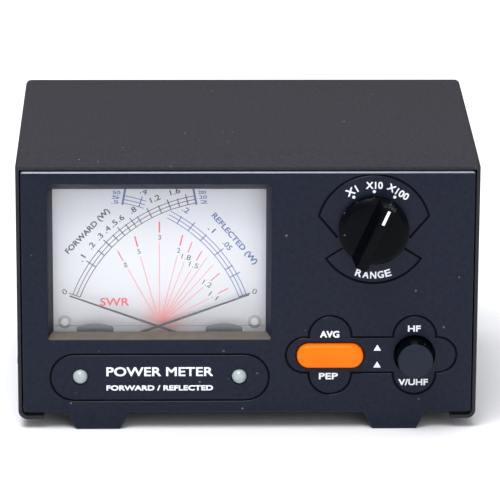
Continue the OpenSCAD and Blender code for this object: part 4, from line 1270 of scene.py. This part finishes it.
class METER_OT_clear_cover(bpy.types.Operator):
    """Mould the clear cover over the dial."""

    bl_idname = "meter.clear_cover"
    bl_label = "Clear cover"

    def execute(self, context):
        low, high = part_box("meter_cover")
        to_mm = TO_FRAME.inverted()
        low = to_mm @ low
        high = to_mm @ high
        wall = 1.2
        under = 0.9
        outer = rounded(low.x, high.x, low.z, high.z, wall)
        inner = rounded(low.x + wall, high.x - wall, low.z + under, high.z - wall, 0.5)
        bm = bmesh.new()
        rings = walls(
            bm, (grown(outer, -0.5), low.y), (grown(outer, -0.15), low.y + 0.15),
            (outer, low.y + 0.5), (outer, high.y), (inner, high.y), (inner, low.y + wall))
        fill(bm, rings[0])
        fill(bm, rings[-1])
        add_piece("clear_window", bm, ["clear plastic"], "case", ["meter_cover"])
        return {"FINISHED"}


class METER_OT_lamps(bpy.types.Operator):
    """Cast the two domed lamps."""

    bl_idname = "meter.lamps"
    bl_label = "Lamps"

    def execute(self, context):
        p = read("meter_panel")
        m = read("meter_scale")
        r = p.lamp_radius
        dome = [(r * math.sin(math.radians(9 * k)), 0.7 - r * math.cos(math.radians(9 * k)))
                for k in range(11)]
        profile = dome + [(r, 5.6), (r + 0.3, 5.65), (r + 0.4, 5.75), (r + 0.4, 6.5), (0.0, 6.6)]
        bm = bmesh.new()
        for side in (-1, 1):
            lathe(bm, profile, Matrix.Translation((m.x + side * p.lamp_dx, 0.0, p.lamp_z)), 48)
        add_piece("domed_lamps", bm, ["lamp plastic"], "case", ["indicator_leds"])
        return {"FINISHED"}


class METER_OT_knob(bpy.types.Operator):
    """Mould the range knob and its white pointer line."""

    bl_idname = "meter.knob"
    bl_label = "Range knob"

    def execute(self, context):
        c = read("meter_controls")
        place = spot(c.knob_x, 0.0, c.knob_z, -c.pointing)
        r = c.knob_radius
        hollow = 9.3
        bore = 3.05
        bm = bmesh.new()
        lathe(bm, [
            (0.0, -4.0), (r - 1.85, -4.0), (r - 1.6, -3.92), (r - 0.25, -2.98), (r - 0.06, -2.85),
            (r, -2.65), (r, -0.7), (r - 0.25, -0.42), (hollow, -0.42), (hollow, -3.0), (bore, -3.0),
            (bore, -3.4), (0.0, -3.4),
        ], place, 96)
        face = -c.knob_out + 0.05
        path = []
        for y, half, reach in (
            (-3.8, 3.3, 11.5), (-4.6, 3.12, 11.5), (face + 0.55, 2.0, 11.5), (face + 0.3, 1.92, 11.46),
            (face + 0.1, 1.78, 11.34), (face, 1.5, 11.1),
        ):
            a = math.degrees(math.asin(half / reach))
            loop = arc(0.0, 0.0, reach, 90.0 - a, 90.0 + a, 10)
            loop += arc(0.0, 0.0, reach, 270.0 - a, 270.0 + a, 10)
            path.append((loop, y))
        rings = walls(bm, *path)
        fill(bm, rings[0])
        fill(bm, rings[-1])
        bmesh.ops.transform(bm, matrix=place, verts=[v for one in rings for v in one])
        add_piece("range_knob_body", bm, ["knob plastic"], "range_selector", ["range_knob"],
                  sharp=26.0)
        bm = bmesh.new()
        slab(bm, rounded(-0.5, 0.5, 5.75, 11.0, 0.2, 3), -c.knob_out, -c.knob_out + 0.4, 0.08, 2)
        bm.transform(place)
        add_piece("knob_line", bm, ["pointer white"], "range_selector", ["knob_pointer"])
        return {"FINISHED"}


class METER_OT_buttons(bpy.types.Operator):
    """Mould the orange key and the round button."""

    bl_idname = "meter.buttons"
    bl_label = "Buttons"

    def execute(self, context):
        c = read("meter_controls")
        loop = stadium(c.peak_x, c.button_z, KEY_WIDTH, KEY_HIGH, 28)
        face = -2.5
        edge = 1.25
        crown = 0.16
        flange = grown(loop, 1.0)
        flange_front = 6.2
        bm = bmesh.new()
        path = [(flange, 7.0), (flange, flange_front), (loop, flange_front)]
        for k in range(7):
            a = math.radians(15.0 * k)
            depth = face + crown + edge * (1.0 - math.sin(a))
            path.append((grown(loop, -edge * (1.0 - math.cos(a))), depth))
        for share in (0.45, 0.75):
            lift = crown * (1.0 - (1.0 - share) ** 2)
            path.append((grown(loop, -edge - share * 2.7), face + crown - lift))
        rings = walls(bm, *path)
        fill(bm, rings[0])
        fill(bm, rings[-1])
        add_piece("orange_key", bm, ["orange plastic"], "peak_key", ["peak_button"],
                  sharp=50.0)

        side_front = -6.3
        bm = bmesh.new()
        lathe(bm, [
            (0.0, -6.78), (2.5, -6.8), (4.6, -6.86), (5.3, -6.93), (5.5, -6.97), (5.66, -6.93), (5.8, -6.8),
            (5.88, -6.6), (5.92, side_front), (6.46, 2.9), (6.5, 3.0), (8.0, 3.0), (8.0, 4.0), (0.0, 4.0),
        ], Matrix.Translation((c.band_x, 0.0, c.button_z)), 80)
        # Painted shadow: the side walls take the knob's near-black plastic, darker than the face, for the
        # shadow in the gap round the button.
        looks = ["button plastic", "knob plastic"]
        for one in bm.faces:
            if one.calc_center_median().y > side_front:
                one.material_index = looks.index("knob plastic")
        add_piece("round_button", bm, looks, "band_key", ["band_button"])
        return {"FINISHED"}


def coil(bm, radius, wire, length, turns, place):
    """A spring of round wire, wound along Y from y = 0."""
    sides = 12
    steps = 24 * turns
    loop = []
    for k in range(sides):
        a = math.tau * k / sides
        loop.append(bm.verts.new((radius + wire * math.cos(a), wire + wire * math.sin(a), 0.0)))
    first = [bm.edges.new(pair) for pair in zip(loop, loop[1:] + loop[:1])]
    made = bmesh.ops.spin(
        bm, geom=loop + first, cent=(0, 0, 0), axis=(0, 1, 0), angle=math.tau * turns,
        dvec=(0.0, (length - 2.0 * wire) / steps, 0.0), steps=steps)
    last = [e for e in made["geom_last"] if isinstance(e, bmesh.types.BMEdge)]
    for end in (first, last):
        bmesh.ops.triangle_fill(bm, use_beauty=True, edges=end)
    bm.transform(place)


class METER_OT_springs(bpy.types.Operator):
    """Wind the return springs, which shorten as their buttons go in."""

    bl_idname = "meter.springs"
    bl_label = "Return springs"

    def execute(self, context):
        wire = 0.3
        radius = 1.1
        turns = 4
        for name, node, body in (
            ("peak_return_spring", "peak_spring", "peak_key"),
            ("band_return_spring", "band_spring", "band_key"),
        ):
            low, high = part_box(node)
            front = Vector(((low[0] + high[0]) / 2.0, low[1], (low[2] + high[2]) / 2.0))
            back = Vector((front.x, high[1], front.z))
            length = (back.y - front.y) / MM
            bm = bmesh.new()
            place = Matrix.Translation(TO_FRAME.inverted() @ front)
            coil(bm, radius, wire, length, turns, place)
            piece = add_piece(name, bm, ["spring steel"], None, [node])
            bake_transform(piece)
        return {"FINISHED"}


class METER_OT_feet(bpy.types.Operator):
    """Mould the rubber feet at the back."""

    bl_idname = "meter.feet"
    bl_label = "Rear feet"

    def execute(self, context):
        c = read("meter_case")
        radius = 6.5
        well = 3.2
        well_deep = 2.0
        hole = 1.6
        high = c.bottom + c.sheet
        up = Matrix.Rotation(math.radians(90.0), 4, "X")
        bm = bmesh.new()
        for side in (-1, 1):
            lathe(bm, [
                (well + 0.3, 0.0), (well, 0.25), (well, well_deep), (hole, well_deep), (hole, high),
                (radius, high), (radius, 0.9), (radius - 0.15, 0.4), (radius - 0.5, 0.08),
                (radius - 0.9, 0.0),
            ], Matrix.Translation((side * c.foot_x, c.foot_y, 0.0)) @ up, 48, closed=True)
        add_piece("rubber_feet", bm, ["rubber"], "case", ["rear_feet"])
        return {"FINISHED"}


def screw_shape(head, high, shank, length):
    """A pan-head screw along Y with a cross recess. Its head stands on y = 0 and its shank is at y < 0."""
    bm = bmesh.new()
    rim_high = 0.35 * high
    angles = [math.radians(15 * k) for k in range(7)]
    dome = [(head * math.sin(a), high * (0.35 + 0.65 * math.cos(a))) for a in angles]
    lathe(bm, dome + [(head, 0.0), (shank, 0.0), (shank, -length), (0.0, -length)], steps=32)
    tool = bmesh.new()
    arm = head * 0.62
    half = head * 0.12
    box(tool, (-arm, rim_high, -half), (arm, high + 1.0, half))
    other = bmesh.new()
    box(other, (-half, rim_high, -arm), (half, high + 1.0, arm))
    return carve(bm, carve(tool, other, "UNION"))


class METER_OT_screws(bpy.types.Operator):
    """Drive the cross-head screws of the cover, the back and the sockets."""

    bl_idname = "meter.screws"
    bl_label = "Screws"

    def execute(self, context):
        c = read("meter_case")
        s = read("meter_sockets")
        shape = screw_shape(head=2.75, high=1.6, shank=1.5, length=5.0)
        bm = bmesh.new()
        for side in (-1, 1):
            for y in (c.side_screw_front, c.side_screw_back):
                turned = Matrix.Rotation(math.radians(-90.0 * side), 4, "Z")
                place = Matrix.Translation((side * c.width / 2.0, y, c.side_screw_z)) @ turned
                copy_in(bm, shape, place @ Matrix.Rotation(math.radians(20.0 + y), 4, "Y"))
        add_piece("cross_head_cover_screws", bm, ["black screws"], "case", ["cover_screws"])
        bm = bmesh.new()
        for side in (-1, 1):
            place = Matrix.Translation((side * c.screw_x, c.depth, c.screw_z))
            copy_in(bm, shape, place @ Matrix.Rotation(math.radians(30.0 * side), 4, "Y"))
        add_piece(
            "cross_head_back_screws", bm, ["black screws"], "case", ["rear_panel_screws"])
        bm = bmesh.new()
        for k, x in enumerate((-s.far, -s.near, s.near, s.far)):
            for dx in (-1, 1):
                for dz in (-1, 1):
                    place = Matrix.Translation(
                        (x + dx * s.screw_offset, c.depth + s.flange_thick, s.z + dz * s.screw_offset))
                    lean = math.radians(37.0 * k + 25.0 * dx + 12.0 * dz)
                    copy_in(bm, shape, place @ Matrix.Rotation(lean, 4, "Y"))
        add_piece("cross_head_socket_screws", bm, ["zinc screws"], "case", ["socket_screws"])
        shape.free()
        return {"FINISHED"}


class METER_OT_sockets(bpy.types.Operator):
    """Turn the threaded shells of the four coaxial sockets."""

    bl_idname = "meter.sockets"
    bl_label = "Sockets"

    def execute(self, context):
        c = read("meter_case")
        s = read("meter_sockets")
        root = s.radius - 0.52
        start = s.flange_thick - 0.1
        barrel = bmesh.new()
        lathe(barrel, [
            (s.bore, start), (s.bore, s.out - 0.3), (s.bore + 0.3, s.out), (root - 0.3, s.out),
            (root, s.out - 0.4), (root, start),
        ], steps=72, closed=True)
        notches = bmesh.new()
        box(notches, (-9.0, s.out - 1.1, -0.8), (9.0, s.out + 1.0, 0.8))
        cross = bmesh.new()
        box(cross, (-0.8, s.out - 1.1, -9.0), (0.8, s.out + 1.0, 9.0))
        shell = carve(barrel, carve(notches, cross, "UNION"))

        plate = bmesh.new()
        half = s.flange / 2.0
        outline = rounded(-half, half, -half, half, 1.4)
        hole = circle(0.0, 0.0, s.bore, 72)
        rings = walls(plate, (outline, 0.0), (outline, s.flange_thick - 0.25),
                      (grown(outline, -0.25), s.flange_thick))
        inner = walls(plate, (hole, 0.0), (hole, s.flange_thick))
        fill(plate, rings[0], inner[0])
        fill(plate, rings[-1], inner[1])
        copy_in(shell, plate, Matrix())
        plate.free()

        thread = bmesh.new()
        steps = 36
        first = s.flange_thick + 0.9
        tooth = [(root - 0.1, -0.45), (s.radius - 0.02, -0.08), (s.radius - 0.02, 0.08), (root - 0.1, 0.45)]
        verts = [thread.verts.new((x, first + y, 0.0)) for x, y in tooth]
        edges = [thread.edges.new(pair) for pair in zip(verts, verts[1:] + verts[:1])]
        thread.faces.new(verts)
        last = bmesh.ops.spin(
            thread, geom=verts + edges, cent=(0, 0, 0), axis=(0, 1, 0),
            dvec=(0, s.pitch / steps, 0), angle=math.radians(360.0 * s.turns), steps=steps * s.turns)
        thread.faces.new([v for v in last["geom_last"] if isinstance(v, bmesh.types.BMVert)])
        copy_in(shell, thread, Matrix())
        thread.free()

        bm = bmesh.new()
        for x in (-s.far, -s.near, s.near, s.far):
            copy_in(bm, shell, Matrix.Translation((x, c.depth, s.z)))
        shell.free()
        add_piece("socket_bodies", bm, ["nickel"], "case", ["socket_shells"], sharp=30.0)
        return {"FINISHED"}


class METER_OT_dress(bpy.types.Operator):
    """Give every carried-over part its surface."""

    bl_idname = "meter.dress"
    bl_label = "Surfaces"

    def execute(self, context):
        for look, nodes in LOOK_NODES.items():
            for node in nodes:
                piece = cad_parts[node]
                if not piece.material_slots:
                    piece.data.materials.append(None)
                for holder in piece.material_slots:
                    holder.material = material(look)
        return {"FINISHED"}


class METER_OT_studio(bpy.types.Operator):
    """Set up the floor, the lights and the camera."""

    bl_idname = "meter.studio"
    bl_label = "Studio"

    def execute(self, context):
        s = context.scene.meter_studio
        self.floor(s)
        for name, power, size, place, aim in (
            ("key light", s.key, 0.8, (-0.25, -0.5, 1.25), (0.0, 0.0, 0.03)),
            ("fill light", s.fill, 1.2, (0.5, -1.3, 0.6), (0.0, -0.02, 0.05)),
            ("rear light", s.rear, 1.2, (0.0, 0.5, 1.6), (0.0, 1.5, 0.2)),
        ):
            lamp = bpy.data.lights.new(name, "AREA")
            lamp.energy = power
            lamp.size = size
            holder = bpy.data.objects.new(name, lamp)
            holder.location = place
            holder.rotation_euler = (Vector(aim) - Vector(place)).to_track_quat("-Z", "Y").to_euler()
            context.scene.collection.objects.link(holder)
        world = bpy.data.worlds.new("studio")
        world.use_nodes = True
        world.node_tree.nodes["Background"].inputs["Color"].default_value = (0.93, 0.95, 1.0, 1.0)
        world.node_tree.nodes["Background"].inputs["Strength"].default_value = s.sky
        context.scene.world = world
        context.scene.view_settings.view_transform = "Standard"
        sensor = bpy.data.cameras.new("camera")
        sensor.lens = s.lens
        sensor.sensor_width = 36.0
        sensor.clip_end = 20.0
        camera = bpy.data.objects.new("camera", sensor)
        camera.matrix_world = (
            Matrix.Translation((s.camera_x, s.camera_y, s.camera_z))
            @ Matrix.Rotation(-s.yaw, 4, "Z")
            @ Matrix.Rotation(math.radians(90.0) - s.pitch, 4, "X")
            @ Matrix.Rotation(s.roll, 4, "Z")
        )
        context.scene.collection.objects.link(camera)
        context.scene.camera = camera
        return {"FINISHED"}

    def floor(self, s):
        """A pale floor, wide enough to look at the meter from any side."""
        reach = 6.0
        bm = bmesh.new()
        bmesh.ops.create_grid(bm, x_segments=8, y_segments=8, size=reach)
        mesh = bpy.data.meshes.new("floor")
        bm.to_mesh(mesh)
        bm.free()
        mesh.polygons.foreach_set("use_smooth", [True] * len(mesh.polygons))
        made, tree, shader, vector = new_material("floor")
        tone = put_group(
            tree, mottle_group(), vector, colour=s.floor, second_colour=toned(s.floor, 0.96),
            scale=3.0, gloss=0.6, gloss_drift=0.1)
        tree.links.new(tone.outputs["Colour"], shader.inputs["Base Color"])
        tree.links.new(tone.outputs["Roughness"], shader.inputs["Roughness"])
        mesh.materials.append(made)
        piece = bpy.data.objects.new("floor", mesh)
        bpy.context.scene.collection.objects.link(piece)


OPERATORS = (
    METER_OT_cover,
    METER_OT_fascia,
    METER_OT_legends,
    METER_OT_dial,
    METER_OT_clear_cover,
    METER_OT_lamps,
    METER_OT_knob,
    METER_OT_buttons,
    METER_OT_springs,
    METER_OT_feet,
    METER_OT_screws,
    METER_OT_sockets,
    METER_OT_dress,
    METER_OT_studio,
)


class METER_PT_sidebar(bpy.types.Panel):
    """The steps of the build and their settings."""

    bl_idname = "METER_PT_sidebar"
    bl_label = "Cross-needle meter"
    bl_space_type = "VIEW_3D"
    bl_region_type = "UI"
    bl_category = "Meter"

    def draw(self, context):
        for step in OPERATORS:
            self.layout.operator(step.bl_idname)
        for key, kind in GROUPS.items():
            column = self.layout.column(heading=kind.__doc__)
            settings = getattr(context.scene, key)
            for name in kind.__annotations__:
                column.prop(settings, name)


def register():
    for kind in (*GROUPS.values(), *OPERATORS, METER_PT_sidebar):
        bpy.utils.register_class(kind)
    for key, kind in GROUPS.items():
        setattr(bpy.types.Scene, key, PointerProperty(type=kind))


def unregister():
    for key in GROUPS:
        delattr(bpy.types.Scene, key)
    for kind in (METER_PT_sidebar, *reversed(OPERATORS), *GROUPS.values()):
        bpy.utils.unregister_class(kind)


def main():
    """Registers the classes, runs every step in order and writes the sizes."""
    register()
    for step in OPERATORS:
        getattr(bpy.ops.meter, step.bl_idname.split(".")[1])()


if __name__ == "__main__":
    main()
